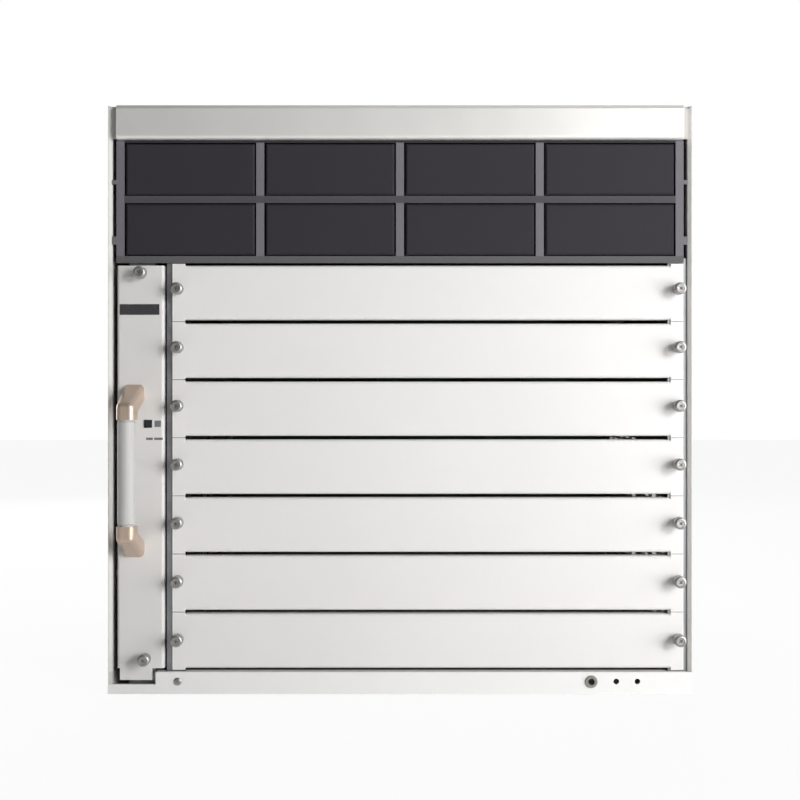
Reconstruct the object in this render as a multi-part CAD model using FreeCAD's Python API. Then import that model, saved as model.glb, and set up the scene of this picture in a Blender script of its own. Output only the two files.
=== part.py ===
"""Seven-slot modular chassis switch, empty: slots and power bays closed by blanks, fan tray at the left.

Millimetres. X is to the right seen from the front, Y to the rear, Z up. The origin is at the middle
of the underside. A depth is measured back from the front hem of the side panels.
"""
import FreeCAD, Part
import math
import os

# ---- shell ----
WIDTH = 439.4            # between the rack rails
HEIGHT = 442.2           # ten rack units, less the gap above
DEPTH = 414.0            # front hem to rear edge
SHEET = 1.5              # outer steel sheet
HEM_WIDTH = 3.0          # doubled front edge of a side panel
HEM_DEPTH = 8.0
HEM_FALL = 1.8           # its front slopes in by this much, from the outside
HEM_LAND = 0.4           # flat left at the outside
REAR_RECESS = 1.5        # rear panel set in from the rear edge
FLANGE = 13.5            # upturned and downturned edges inside the side panels
FLANGE_SETBACK = 12.0    # those edges start behind the hem
RUNNING_GAP = 0.3        # between what slides out and what it rests on

# ---- front, from the bottom up ----
FASCIA_HEIGHT = 16.4
FASCIA_SHEET = 1.5
FASCIA_RETURN = 7.5      # its folded top edge
FASCIA_NOTCH_HEIGHT = 7.2
SLOT_COUNT = 7
SLOT_BASE_GAP = 0.8      # fascia to the lowest slot
COVER_SEAM = 2.8         # between the folded edges of two covers
EAR_SEAM = 0.6           # between their ears
POWER_FLOOR_GAP = 0.3    # highest slot to the power cage's front lip
BAY_CLEAR_HEIGHT = 40.0
SHELF_LIP = 5.4
FLOOR_LIP = 5.2
BEZEL_SPACE = 24.5       # above the power cage
BEZEL_LAP = 1.4          # over the front of the power cage
BEZEL_REACH = 5.0
BEZEL_WALL = 2.0
BEZEL_CHAMFER = 3.0
BEZEL_ROUND = 3.0
BEZEL_SIDE_GAP = 4.1
CHEEK_WIDTH = 4.5        # sloping strips beside the bezel
CHEEK_FALL = 3.2

# ---- fan tray ----
TRAY_HEM_GAP = 3.7       # left hem to the tray
TRAY_WIDTH = 35.4
TRAY_FACE_DEPTH = 0.5    # front of its face
TRAY_FACE_SHEET = 1.5
TRAY_BOTTOM_GAP = 2.6    # fascia to the face
TRAY_TOP_GAP = 2.1       # face to the power cage
TRAY_FACE_RETURN = 12.0
TRAY_FACE_BEND = 2.2
TONGUE_WIDTH = 26.4
TONGUE_GAP = 3.0         # from the tongue to the fascia, below and beside it
FRAME_SHEET = 1.2
FRAME_BOTTOM_INSET = 14.5  # behind the face, clear of its screws
FRAME_TOP_INSET = 12.5
FRAME_REAR_SPACE = 25.0  # frame to the rear panel
FAN_GAP = 8.2            # between neighbouring fans
FAN_THICKNESS = 25.4
FAN_RIM = 2.5            # thinnest wall beside the bore
FAN_CORNER = 6.0         # bevel across each corner
FAN_SEAT = 3.5           # how far the tray's wall laps a fan
FAN_COLUMNS = 3
FAN_ROWS = 2
HUB_RADIUS = 20.0
HUB_FLATS = 14
MOTOR_PLATE_FLATS = 14
HUB_SETBACK = 2.6        # hub to the open side of the fan
MOTOR_PLATE = 3.0
STRUT_WIDTH = 5.0
STRUT_LAP = 1.0          # strut into the wall of the bore
ROTOR_END_GAP = 0.8      # to the motor plate
BLADE_COUNT = 7
BLADE_TIP_GAP = 1.6
BLADE_THICKNESS = 1.4
BLADE_CHORD = 24.0
BLADE_ANGLE = 38.0       # from the plane of rotation
BLADE_CAMBER = 2.0
BLADE_ROOT_SINK = 5.0    # how far a blade starts inside the hub
PLUG_WIDTH = 14.0
PLUG_HEIGHT = 31.0
PLUG_LENGTH = 14.0
PLUG_GAP = 0.5
SOCKET_WALL = 4.0
RAIL_WIDTH = 20.0
STRIP_HEIGHT = 8.0
STRIP_DROP = 33.0        # from the top of the face
STRIP_WIDTH = 29.7
STRIP_THICKNESS = 0.4
LENS_SIZE = 6.0
LENS_THICKNESS = 0.6
LENS_INSET = 12.0        # from the right edge of the face
LENS_DROP = 119.0        # from the top of the face

# ---- handle ----
HANDLE_INSET = 12.7      # from the left edge of the face
HANDLE_RISE = 148.5      # middle of the handle, above the foot of the face
HANDLE_REACH = 33.0      # front hem to the front of the grip
HANDLE_BASE_SPAN = 130.0
HANDLE_FRONT_SPAN = 101.0
HANDLE_LEG = 11.5
HANDLE_BASE_WIDTH = 16.0
HANDLE_FRONT_WIDTH = 13.0
HANDLE_ROUND = 4.0
GRIP_RADIUS = 6.0
GRIP_SEAT = 1.0          # leg behind the grip

# ---- slot covers and cage ----
COVER_TRAY_GAP = 6.1
COVER_HEM_GAP = 3.0
COVER_DEPTH = 2.0        # front of a cover
COVER_SHEET = 1.5
COVER_RETURN = 10.0
COVER_BEND = 2.3
EAR_WIDTH = 9.5
SCREW_HOLE = 2.3         # radius to its corners
SCREW_HOLE_FLATS = 6
CAGE_SHEET = 1.5
CAGE_TRAY_GAP = 1.6
CAGE_RELIEF = 1.0        # all round a mounting rail, in the fascia's folded edge
MOUNTING_RAIL_WIDTH = 13.0
GUIDE_WIDTH = 6.0
GUIDE_HEIGHT = 8.0
GUIDE_GROOVE = 2.6
GUIDE_GROOVE_DEPTH = 3.5
GUIDE_START = 14.0
GUIDE_DROP = 12.0        # groove below the middle of its slot
BACKPLANE_SPACE = 39.0   # backplane to the rear panel
BOARD = 3.2
BACKPLANE_FLOOR_GAP = 8.0
BACKPLANE_ROOF_GAP = 4.0
CONNECTOR_LENGTH = 64.0
CONNECTOR_HEIGHT = 16.0
CONNECTOR_DEPTH = 12.0
CONNECTOR_WALL = 2.0
CONNECTORS_PER_SLOT = 2
CONNECTOR_PITCH = 150.0
WINDOW_COLUMNS = 2
WINDOW_MARGIN = 11.0     # at both ends of a row of windows
WINDOW_HEIGHT = 22.0
WINDOW_BAR = 14.0        # between two windows
WINDOW_RISE = 5.0        # windows sit above the guides

# ---- captive screws ----
KNOB_RADIUS = 4.5
KNOB_LENGTH = 9.0
KNOB_FLUTES = 12
COLLAR_FLATS = 6
COLLAR_RADIUS = 3.3
COLLAR_LENGTH = 4.5
SHANK_RADIUS = 1.6
SHANK_LENGTH = 8.0
SHANK_FLATS = 6          # stand in for its thread
SCREW_RISE = 2.2         # above the middle of a slot
TRAY_SCREW_TOP_INSET = (16.4, 6.0)       # from the right and top edges of the face
TRAY_SCREW_BOTTOM_INSET = (13.4, 8.0)    # from the right and bottom edges

# ---- power cage ----
CAGE_HEM_GAP = 3.1       # power cage to the hems
BAY_COLUMNS = 4
BAY_ROWS = 2
DIVIDER_LIP = 6.0
POWER_SHEET = 1.5
POWER_FRONT = 1.0        # front of its lips
POWER_SPACE = 66.0       # power board to the rear panel
BLANK_SIDE_GAP = 1.2
BLANK_TOP_GAP = 0.8
BLANK_SHEET = 1.2
BLANK_RETURN = 25.0
BLANK_BEVEL = 1.3
BLANK_FRONT = 0.5
CLIP_LENGTH = 12.0
CLIP_HEIGHT = 12.0
CLIP_SETBACK = 2.0       # from the middle of the folded edge
TAB_HEIGHTS = ((8.7, 14.7), (54.2, 57.2))   # above the floor of the bays

# ---- earthing points ----
LUG_INSET = 57.2         # left lug hole, from the right side
LUG_SPACING = 15.88
LUG_HOLE = 2.1           # radius
EARTH_Z = 9.4
JACK_INSET = 76.0        # from the right side
JACK_BORE = 2.05         # radius
JACK_BARREL = 3.2
JACK_COLLAR = 4.6
JACK_COLLAR_LENGTH = 1.5
JACK_LENGTH = 14.0
JACK_BORE_LENGTH = 13.0
EARTH_CLEARANCE = 1.0    # round the jack and the lug's screws, in the edge behind the fascia
FASCIA_SCREW_INSET = 52.7  # from the left side

# ---- vents and rack-bracket holes ----
VENT_COLUMNS = 9
VENT_ROWS = 3
VENT_BAR = 14.0          # between two vents, across and up
VENT_START = 84.0        # depth of the first column
VENT_REAR_MARGIN = 42.0
VENT_BOTTOM = 42.0
VENT_TOP_MARGIN = 15.8   # below the power cage
EXHAUST_COLUMNS = 4
EXHAUST_PITCH = 20.0
EXHAUST_WIDTH = 11.0
EXHAUST_HEIGHT = 28.0
BRACKET_HOLE = 2.1       # radius
BRACKET_DEPTH = 25.0
BRACKET_COLUMN_SPACING = 31.75
BRACKET_ROW_SPACING = 266.7
SCREW_HEAD_RADIUS = 3.0
SCREW_HEAD_HEIGHT = 1.2
SCREW_HEAD_FLATS = 6
REAR_SCREW_INSET = 12.0
REAR_SCREW_ROWS = 3

# ---- worked out: shell and power cage ----
HALF = WIDTH / 2
SIDE_INNER = HALF - SHEET
HEM_INNER = HALF - HEM_WIDTH
FRONT_Y = HANDLE_REACH - (DEPTH + HANDLE_REACH) / 2
REAR_PANEL_DEPTH = DEPTH - REAR_RECESS - SHEET
TOP_INNER = HEIGHT - SHEET
ROOF_TOP = HEIGHT - BEZEL_SPACE
ROOF_UNDER = ROOF_TOP - POWER_SHEET
ROOF_LIP_BOTTOM = ROOF_UNDER - POWER_SHEET
SHELF_TOP = ROOF_LIP_BOTTOM - BAY_CLEAR_HEIGHT
SHELF_BOTTOM = SHELF_TOP - SHELF_LIP
SHELF_MIDDLE = (SHELF_TOP + SHELF_BOTTOM) / 2
POWER_FLOOR_TOP = SHELF_BOTTOM - BAY_CLEAR_HEIGHT
POWER_FLOOR_UNDER = POWER_FLOOR_TOP - POWER_SHEET
POWER_FLOOR_Z = POWER_FLOOR_TOP - FLOOR_LIP
POWER_DEPTH = REAR_PANEL_DEPTH - POWER_SPACE
BEZEL_BOTTOM = ROOF_TOP - BEZEL_LAP
CAGE_OUTER = HEM_INNER - CAGE_HEM_GAP
BAY_PITCH = (2 * CAGE_OUTER - DIVIDER_LIP) / BAY_COLUMNS

# ---- worked out: fan tray ----
TRAY_LEFT = -HEM_INNER + TRAY_HEM_GAP
TRAY_RIGHT = TRAY_LEFT + TRAY_WIDTH
TRAY_FACE_BOTTOM = FASCIA_HEIGHT + TRAY_BOTTOM_GAP
TRAY_FACE_TOP = POWER_FLOOR_Z - TRAY_TOP_GAP
TONGUE_BOTTOM = FASCIA_NOTCH_HEIGHT + TONGUE_GAP
FASCIA_STEP_X = TRAY_LEFT + TONGUE_WIDTH + TONGUE_GAP
FRAME_LEFT = TRAY_LEFT + TRAY_FACE_SHEET
FRAME_RIGHT = TRAY_RIGHT - TRAY_FACE_SHEET
FRAME_FRONT = TRAY_FACE_DEPTH + TRAY_FACE_SHEET
FRAME_REAR = REAR_PANEL_DEPTH - FRAME_REAR_SPACE
FRAME_BOTTOM = TRAY_FACE_BOTTOM + FRAME_BOTTOM_INSET
FRAME_TOP = TRAY_FACE_TOP - FRAME_TOP_INSET
FRAME_MIDDLE_Z = (FRAME_BOTTOM + FRAME_TOP) / 2
FRAME_MIDDLE_DEPTH = (FRAME_FRONT + FRAME_REAR) / 2
TRAY_MIDDLE_X = (FRAME_LEFT + FRAME_RIGHT) / 2
TRAY_SCREW_TOP = (TRAY_RIGHT - TRAY_SCREW_TOP_INSET[0], TRAY_FACE_TOP - TRAY_SCREW_TOP_INSET[1])
TRAY_SCREW_BOTTOM = (TRAY_RIGHT - TRAY_SCREW_BOTTOM_INSET[0], TRAY_FACE_BOTTOM + TRAY_SCREW_BOTTOM_INSET[1])
FAN_ROW_PITCH = (FRAME_TOP - FRAME_BOTTOM - 2 * FRAME_SHEET) / FAN_ROWS
FAN_COLUMN_PITCH = (FRAME_REAR - FRAME_FRONT - 2 * FRAME_SHEET) / FAN_COLUMNS
FAN_SIZE = min(FAN_ROW_PITCH, FAN_COLUMN_PITCH) - FAN_GAP
FAN_BORE = FAN_SIZE / 2 - FAN_RIM
FAN_RIGHT = FRAME_RIGHT - FRAME_SHEET
FAN_LEFT = FAN_RIGHT - FAN_THICKNESS
HUB_LENGTH = FAN_THICKNESS - MOTOR_PLATE - ROTOR_END_GAP - HUB_SETBACK
HANDLE_X = TRAY_LEFT + HANDLE_INSET
HANDLE_MIDDLE_Z = TRAY_FACE_BOTTOM + HANDLE_RISE

# ---- worked out: card cage ----
SLOT_BASE = FASCIA_HEIGHT + SLOT_BASE_GAP
SLOT_PITCH = (POWER_FLOOR_Z - POWER_FLOOR_GAP - SLOT_BASE) / SLOT_COUNT
COVER_HEIGHT = SLOT_PITCH - COVER_SEAM
EAR_HEIGHT = SLOT_PITCH - EAR_SEAM
COVER_LEFT = TRAY_RIGHT + COVER_TRAY_GAP
COVER_RIGHT = HEM_INNER - COVER_HEM_GAP
COVER_BACK = COVER_DEPTH + COVER_SHEET
RAIL_FRONT = COVER_BACK + RUNNING_GAP
RAIL_BACK = RAIL_FRONT + CAGE_SHEET
CAGE_LEFT = TRAY_RIGHT + CAGE_TRAY_GAP
CAGE_RIGHT = COVER_RIGHT + CAGE_SHEET
RAIL_SPANS = ((CAGE_LEFT, CAGE_LEFT + MOUNTING_RAIL_WIDTH),
              (CAGE_RIGHT - MOUNTING_RAIL_WIDTH, HEM_INNER - RUNNING_GAP))
SCREW_LEFT_X = COVER_LEFT + EAR_WIDTH / 2
SCREW_RIGHT_X = COVER_RIGHT - EAR_WIDTH / 2
BACKPLANE_DEPTH = REAR_PANEL_DEPTH - BACKPLANE_SPACE
WINDOW_PITCH = (BACKPLANE_DEPTH - GUIDE_START - 2 * WINDOW_MARGIN) / WINDOW_COLUMNS

# ---- worked out: holes and vents ----
LUG_X = HALF - LUG_INSET
JACK_X = HALF - JACK_INSET
FASCIA_SCREW_X = -HALF + FASCIA_SCREW_INSET
VENT_PITCH = (DEPTH - VENT_START - VENT_REAR_MARGIN) / VENT_COLUMNS
VENT_ROW_PITCH = (POWER_FLOOR_UNDER - VENT_TOP_MARGIN - VENT_BOTTOM) / VENT_ROWS


def block(x0, x1, d0, d1, z0, z1):
    """A box between two x, two depths and two heights."""
    corner = FreeCAD.Vector(min(x0, x1), FRONT_Y + d0, z0)
    return Part.makeBox(abs(x1 - x0), d1 - d0, z1 - z0, corner)


def rod_back(x, z, radius, d0, d1):
    """A cylinder that runs towards the rear."""
    start = FreeCAD.Vector(x, FRONT_Y + d0, z)
    return Part.makeCylinder(radius, d1 - d0, start, FreeCAD.Vector(0, 1, 0))


def rod_right(x0, x1, depth, z, radius):
    """A cylinder that runs across, from x0 to x1."""
    start = FreeCAD.Vector(x0, FRONT_Y + depth, z)
    return Part.makeCylinder(radius, x1 - x0, start, FreeCAD.Vector(1, 0, 0))


def corners_on_circle(radius, sides):
    """Two coordinates of each corner of a regular polygon about the origin."""
    turns = [2 * math.pi * (step + 0.5) / sides for step in range(sides)]
    return [(radius * math.cos(turn), radius * math.sin(turn)) for turn in turns]


def flat_sided_rod(x, z, radius, sides, d0, d1):
    """A prism that runs towards the rear."""
    points = [FreeCAD.Vector(x + across, FRONT_Y + d0, z + up)
              for across, up in corners_on_circle(radius, sides)]
    return polygon_prism(points, FreeCAD.Vector(0, d1 - d0, 0))


def flat_sided_disc(x0, x1, y, z, radius, sides):
    """A prism that runs across, from x0 to x1."""
    points = [FreeCAD.Vector(x0, y + back, z + up) for up, back in corners_on_circle(radius, sides)]
    return polygon_prism(points, FreeCAD.Vector(x1 - x0, 0, 0))


def join(shapes):
    """One solid from shapes that touch or overlap."""
    return shapes[0].fuse(shapes[1:]).removeSplitter()


def mirrored(shape):
    """The same shape on the other side of the middle plane."""
    return shape.mirror(FreeCAD.Vector(0, 0, 0), FreeCAD.Vector(1, 0, 0))


def polygon_prism(points, along):
    """A prism on a closed outline of straight edges."""
    wire = Part.makePolygon(points + [points[0]])
    return Part.Face(wire).extrude(along)


def slot_middle(number):
    """Height of the middle of a slot; slot 1 is the top one."""
    return SLOT_BASE + (SLOT_COUNT - number + 0.5) * SLOT_PITCH


def bay_middle(number):
    """Middle of a power bay in x and z; bays 1 to 4 are the top row."""
    column = (number - 1) % BAY_COLUMNS
    x = (column - (BAY_COLUMNS - 1) / 2) * BAY_PITCH
    lowest = SHELF_TOP if number <= BAY_COLUMNS else POWER_FLOOR_TOP
    return x, lowest + BAY_CLEAR_HEIGHT / 2


def bent_channel(place, low, high, front, depth, thickness, bend, along):
    """A sheet folded to a C: its web at the front, both edges turned back with round outer bends.

    place turns (across, depth) into a point, and along is the length of the fold.
    """
    def bend_arc(centre_across, side):
        slant = bend * math.sqrt(0.5)
        return Part.Arc(place(centre_across + side * bend, front + bend),
                        place(centre_across + side * slant, front + bend - slant),
                        place(centre_across, front)).toShape()

    back = front + depth
    inner = front + thickness
    corners = [place(high - bend, front), place(high, front + bend), place(high, back),
               place(high - thickness, back), place(high - thickness, inner),
               place(low + thickness, inner), place(low + thickness, back), place(low, back),
               place(low, front + bend), place(low + bend, front)]
    edges = [bend_arc(high - bend, 1)]
    edges += [Part.makeLine(start, end) for start, end in zip(corners[1:8], corners[2:9])]
    edges += [bend_arc(low + bend, -1), Part.makeLine(corners[9], corners[0])]
    return Part.Face(Part.Wire(edges)).extrude(along)


# ---- shell ----
def base_pan():
    """Floor sheet, its edges turned up inside the side panels and, open round the jack, behind the fascia."""
    rear = REAR_PANEL_DEPTH
    floor = block(-SIDE_INNER, SIDE_INNER, 0, DEPTH, 0, SHEET)
    edge = block(SIDE_INNER - SHEET, SIDE_INNER, FLANGE_SETBACK, rear, SHEET, SHEET + FLANGE)
    front = block(FASCIA_STEP_X, HEM_INNER, 0, SHEET, SHEET, FASCIA_HEIGHT - FASCIA_SHEET)
    low_front = block(-HEM_INNER, FASCIA_STEP_X, 0, SHEET, SHEET, FASCIA_NOTCH_HEIGHT)
    window = block(JACK_X - JACK_BARREL - EARTH_CLEARANCE, LUG_X + LUG_SPACING + LUG_HOLE + EARTH_CLEARANCE,
                   0, SHEET, EARTH_Z - JACK_BARREL - EARTH_CLEARANCE, EARTH_Z + JACK_BARREL + EARTH_CLEARANCE)
    return join([floor, edge, mirrored(edge), front, low_front]).cut(window)


def side_panel():
    """Right side panel: vents, rack-bracket holes and a doubled front edge that slopes inwards."""
    panel = block(SIDE_INNER, HALF, 0, DEPTH, 0, HEIGHT)
    hem = block(HEM_INNER, SIDE_INNER, 0, HEM_DEPTH, SHEET, TOP_INNER)
    slope = [FreeCAD.Vector(HEM_INNER, FRONT_Y, FASCIA_HEIGHT),
             FreeCAD.Vector(HALF - HEM_LAND, FRONT_Y, FASCIA_HEIGHT),
             FreeCAD.Vector(HEM_INNER, FRONT_Y + HEM_FALL, FASCIA_HEIGHT)]
    cuts = [polygon_prism(slope, FreeCAD.Vector(0, 0, HEIGHT - FASCIA_HEIGHT))]
    for row in range(VENT_ROWS):
        for column in range(VENT_COLUMNS):
            depth = VENT_START + column * VENT_PITCH
            low = VENT_BOTTOM + row * VENT_ROW_PITCH
            cuts.append(block(SIDE_INNER, HALF, depth, depth + VENT_PITCH - VENT_BAR,
                              low, low + VENT_ROW_PITCH - VENT_BAR))
    for depth in (BRACKET_DEPTH, BRACKET_DEPTH + BRACKET_COLUMN_SPACING):
        for side in (-1, 1):
            z = HEIGHT / 2 + side * BRACKET_ROW_SPACING / 2
            cuts.append(rod_right(SIDE_INNER, HALF, depth, z, BRACKET_HOLE))
    return join([panel, hem]).cut(cuts)


def top_cover():
    """Roof sheet with its edges turned down at the sides and the front; a cheek slopes up to each hem."""
    rear = REAR_PANEL_DEPTH
    roof = block(-SIDE_INNER, SIDE_INNER, 0, DEPTH, TOP_INNER, HEIGHT)
    edge = block(SIDE_INNER - SHEET, SIDE_INNER, FLANGE_SETBACK, rear, TOP_INNER - FLANGE, TOP_INNER)
    cheek_inner = HEM_INNER - CHEEK_WIDTH
    front = block(-cheek_inner, cheek_inner, 0, SHEET, ROOF_TOP, TOP_INNER)
    sections = ((cheek_inner, 0), (cheek_inner, CHEEK_FALL + SHEET), (HEM_INNER, CHEEK_FALL + SHEET),
                (HEM_INNER, HEM_FALL), (cheek_inner + SHEET, CHEEK_FALL), (cheek_inner + SHEET, 0))
    outline = [FreeCAD.Vector(x, FRONT_Y + depth, ROOF_TOP) for x, depth in sections]
    cheek = polygon_prism(outline, FreeCAD.Vector(0, 0, TOP_INNER - ROOF_TOP))
    corner = block(cheek_inner + SHEET, SIDE_INNER, 0, CHEEK_FALL, TOP_INNER, HEIGHT)
    shell = join([roof, edge, mirrored(edge), front, cheek, mirrored(cheek)])
    return shell.cut([corner, mirrored(corner)])


def rear_panel():
    """Rear sheet, with an exhaust field behind each power bay."""
    panel = block(-SIDE_INNER, SIDE_INNER, REAR_PANEL_DEPTH, REAR_PANEL_DEPTH + SHEET, SHEET, TOP_INNER)
    vents = []
    for number in range(1, BAY_COLUMNS * BAY_ROWS + 1):
        x, z = bay_middle(number)
        for column in range(EXHAUST_COLUMNS):
            middle = x + (column - (EXHAUST_COLUMNS - 1) / 2) * EXHAUST_PITCH
            vents.append(block(middle - EXHAUST_WIDTH / 2, middle + EXHAUST_WIDTH / 2,
                               REAR_PANEL_DEPTH, REAR_PANEL_DEPTH + SHEET,
                               z - EXHAUST_HEIGHT / 2, z + EXHAUST_HEIGHT / 2))
    return panel.cut(vents)


def top_bezel():
    """Moulded trim across the top: chamfered above, rounded below and hollow behind."""
    half = HEM_INNER - BEZEL_SIDE_GAP
    front = -BEZEL_REACH
    outline = [FreeCAD.Vector(-half, FRONT_Y, BEZEL_BOTTOM), FreeCAD.Vector(-half, FRONT_Y, HEIGHT),
               FreeCAD.Vector(-half, FRONT_Y + front + BEZEL_CHAMFER, HEIGHT),
               FreeCAD.Vector(-half, FRONT_Y + front, HEIGHT - BEZEL_CHAMFER),
               FreeCAD.Vector(-half, FRONT_Y + front, BEZEL_BOTTOM)]
    trim = polygon_prism(outline, FreeCAD.Vector(2 * half, 0, 0))
    lower_edge = [edge for edge in trim.Edges
                  if abs(edge.CenterOfMass.z - BEZEL_BOTTOM) < 0.01
                  and abs(edge.CenterOfMass.y - FRONT_Y - front) < 0.01]
    trim = trim.makeFillet(BEZEL_ROUND, lower_edge)
    hollow = block(-half + BEZEL_WALL, half - BEZEL_WALL, front + BEZEL_WALL, 0,
                   BEZEL_BOTTOM + BEZEL_WALL, HEIGHT - BEZEL_WALL - BEZEL_CHAMFER / 2)
    return trim.cut(hollow)


def earth_holes():
    """Holes through the fascia: two for the lug and one for the wrist-strap jack."""
    front = -FASCIA_SHEET
    holes = [rod_back(LUG_X + step * LUG_SPACING, EARTH_Z, LUG_HOLE, front, 0) for step in (0, 1)]
    return holes + [rod_back(JACK_X, EARTH_Z, JACK_BARREL, front, 0)]


def bottom_fascia():
    """Strip across the bottom, lower under the fan tray, with its top edge folded back."""
    plate = block(FASCIA_STEP_X, HALF, -FASCIA_SHEET, 0, 0, FASCIA_HEIGHT)
    low_plate = block(-HALF, FASCIA_STEP_X, -FASCIA_SHEET, 0, 0, FASCIA_NOTCH_HEIGHT)
    top = block(FASCIA_STEP_X, HEM_INNER, 0, FASCIA_RETURN, FASCIA_HEIGHT - FASCIA_SHEET, FASCIA_HEIGHT)
    reliefs = [block(left - CAGE_RELIEF, right + CAGE_RELIEF, RAIL_FRONT - CAGE_RELIEF, FASCIA_RETURN,
                     0, FASCIA_HEIGHT)
               for left, right in RAIL_SPANS]
    return join([plate, low_plate, top]).cut(earth_holes() + reliefs)


def wrist_strap_jack():
    """Turned socket for the plug of an earthing strap."""
    front = -FASCIA_SHEET - JACK_COLLAR_LENGTH
    collar = rod_back(JACK_X, EARTH_Z, JACK_COLLAR, front, -FASCIA_SHEET)
    barrel = rod_back(JACK_X, EARTH_Z, JACK_BARREL, -FASCIA_SHEET, JACK_LENGTH)
    bore = rod_back(JACK_X, EARTH_Z, JACK_BORE, front, front + JACK_BORE_LENGTH)
    return join([collar, barrel]).cut(bore)


def chassis_screws():
    """Screw heads on the rear panel, and the one in the fascia."""
    heads = []
    back = REAR_PANEL_DEPTH + SHEET
    rise = (HEIGHT - 2 * REAR_SCREW_INSET) / (REAR_SCREW_ROWS - 1)
    for row in range(REAR_SCREW_ROWS):
        z = REAR_SCREW_INSET + row * rise
        for x in (-SIDE_INNER + REAR_SCREW_INSET, SIDE_INNER - REAR_SCREW_INSET):
            heads.append(flat_sided_rod(x, z, SCREW_HEAD_RADIUS, SCREW_HEAD_FLATS,
                                        back, back + SCREW_HEAD_HEIGHT))
    front = -FASCIA_SHEET
    heads.append(flat_sided_rod(FASCIA_SCREW_X, EARTH_Z, SCREW_HEAD_RADIUS, SCREW_HEAD_FLATS,
                                front - SCREW_HEAD_HEIGHT, front))
    return Part.Compound(heads)


# ---- power cage ----
def power_cage_floor():
    """Sheet under the power bays, held by both side panels, with its front edge turned down."""
    sheet = block(-CAGE_OUTER, CAGE_OUTER, POWER_FRONT, REAR_PANEL_DEPTH, POWER_FLOOR_UNDER, POWER_FLOOR_TOP)
    wings = block(-SIDE_INNER, SIDE_INNER, FLANGE_SETBACK, REAR_PANEL_DEPTH,
                  POWER_FLOOR_UNDER, POWER_FLOOR_TOP)
    lip = block(-CAGE_OUTER, CAGE_OUTER, POWER_FRONT, POWER_FRONT + POWER_SHEET,
                POWER_FLOOR_Z, POWER_FLOOR_TOP)
    return join([sheet, wings, lip])


def power_cage_roof():
    """Sheet over the power bays, held by both side panels, with its front edge turned down."""
    sheet = block(-CAGE_OUTER, CAGE_OUTER, POWER_FRONT + POWER_SHEET, REAR_PANEL_DEPTH, ROOF_UNDER, ROOF_TOP)
    wings = block(-SIDE_INNER, SIDE_INNER, FLANGE_SETBACK, REAR_PANEL_DEPTH, ROOF_UNDER, ROOF_TOP)
    lip = block(-CAGE_OUTER + DIVIDER_LIP, CAGE_OUTER - DIVIDER_LIP, POWER_FRONT,
                POWER_FRONT + POWER_SHEET, ROOF_LIP_BOTTOM, ROOF_TOP)
    return join([sheet, wings, lip])


def power_cage_shelf():
    """Sheet between the two rows of bays, with a lip up and down at the front."""
    inner = CAGE_OUTER - POWER_SHEET
    sheet = block(-inner, inner, POWER_FRONT + POWER_SHEET, POWER_DEPTH,
                  SHELF_MIDDLE - POWER_SHEET / 2, SHELF_MIDDLE + POWER_SHEET / 2)
    lip = block(-CAGE_OUTER + DIVIDER_LIP, CAGE_OUTER - DIVIDER_LIP, POWER_FRONT,
                POWER_FRONT + POWER_SHEET, SHELF_BOTTOM, SHELF_TOP)
    return join([sheet, lip])


def power_cage_dividers():
    """Upright walls between the bays, each with a lip facing the front, and the two outer walls."""
    lip_back = POWER_FRONT + POWER_SHEET
    rows = ((POWER_FLOOR_TOP, SHELF_MIDDLE - POWER_SHEET / 2, POWER_FLOOR_TOP, SHELF_BOTTOM),
            (SHELF_MIDDLE + POWER_SHEET / 2, ROOF_UNDER, SHELF_TOP, ROOF_LIP_BOTTOM))
    walls = []
    for column in range(1, BAY_COLUMNS):
        x = (column - BAY_COLUMNS / 2) * BAY_PITCH
        for wall_low, wall_high, lip_low, lip_high in rows:
            wall = block(x - POWER_SHEET / 2, x + POWER_SHEET / 2, lip_back, POWER_DEPTH, wall_low, wall_high)
            lip = block(x - DIVIDER_LIP / 2, x + DIVIDER_LIP / 2, POWER_FRONT, lip_back, lip_low, lip_high)
            walls.append(join([wall, lip]))
    outer = block(CAGE_OUTER - POWER_SHEET, CAGE_OUTER, lip_back, POWER_DEPTH, POWER_FLOOR_TOP, ROOF_UNDER)
    outer_lip = block(CAGE_OUTER - DIVIDER_LIP, CAGE_OUTER, POWER_FRONT, lip_back,
                      POWER_FLOOR_TOP, ROOF_UNDER)
    tabs = [block(CAGE_OUTER, HEM_INNER, POWER_FRONT, lip_back,
                  POWER_FLOOR_TOP + low, POWER_FLOOR_TOP + high)
            for low, high in TAB_HEIGHTS]
    side = join([outer, outer_lip] + tabs)
    return Part.Compound(walls + [side, mirrored(side)])


def power_blank(number):
    """Folded cover of one power bay, with a spring clip on each side."""
    x, z = bay_middle(number)
    half_width = BAY_PITCH / 2 - DIVIDER_LIP / 2 - BLANK_SIDE_GAP
    half_height = BAY_CLEAR_HEIGHT / 2 - BLANK_TOP_GAP
    back = BLANK_FRONT + BLANK_RETURN
    pan = block(x - half_width, x + half_width, BLANK_FRONT, back, z - half_height, z + half_height)
    front_edges = [edge for edge in pan.Edges if abs(edge.CenterOfMass.y - FRONT_Y - BLANK_FRONT) < 0.01]
    pan = pan.makeChamfer(BLANK_BEVEL, front_edges)
    hollow = block(x - half_width + BLANK_SHEET, x + half_width - BLANK_SHEET,
                   BLANK_FRONT + BLANK_SHEET, back,
                   z - half_height + BLANK_SHEET, z + half_height - BLANK_SHEET)
    pan = pan.cut(hollow)
    return join([pan] + [spring_clip(x, z, half_width, side) for side in (-1, 1)])


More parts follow.
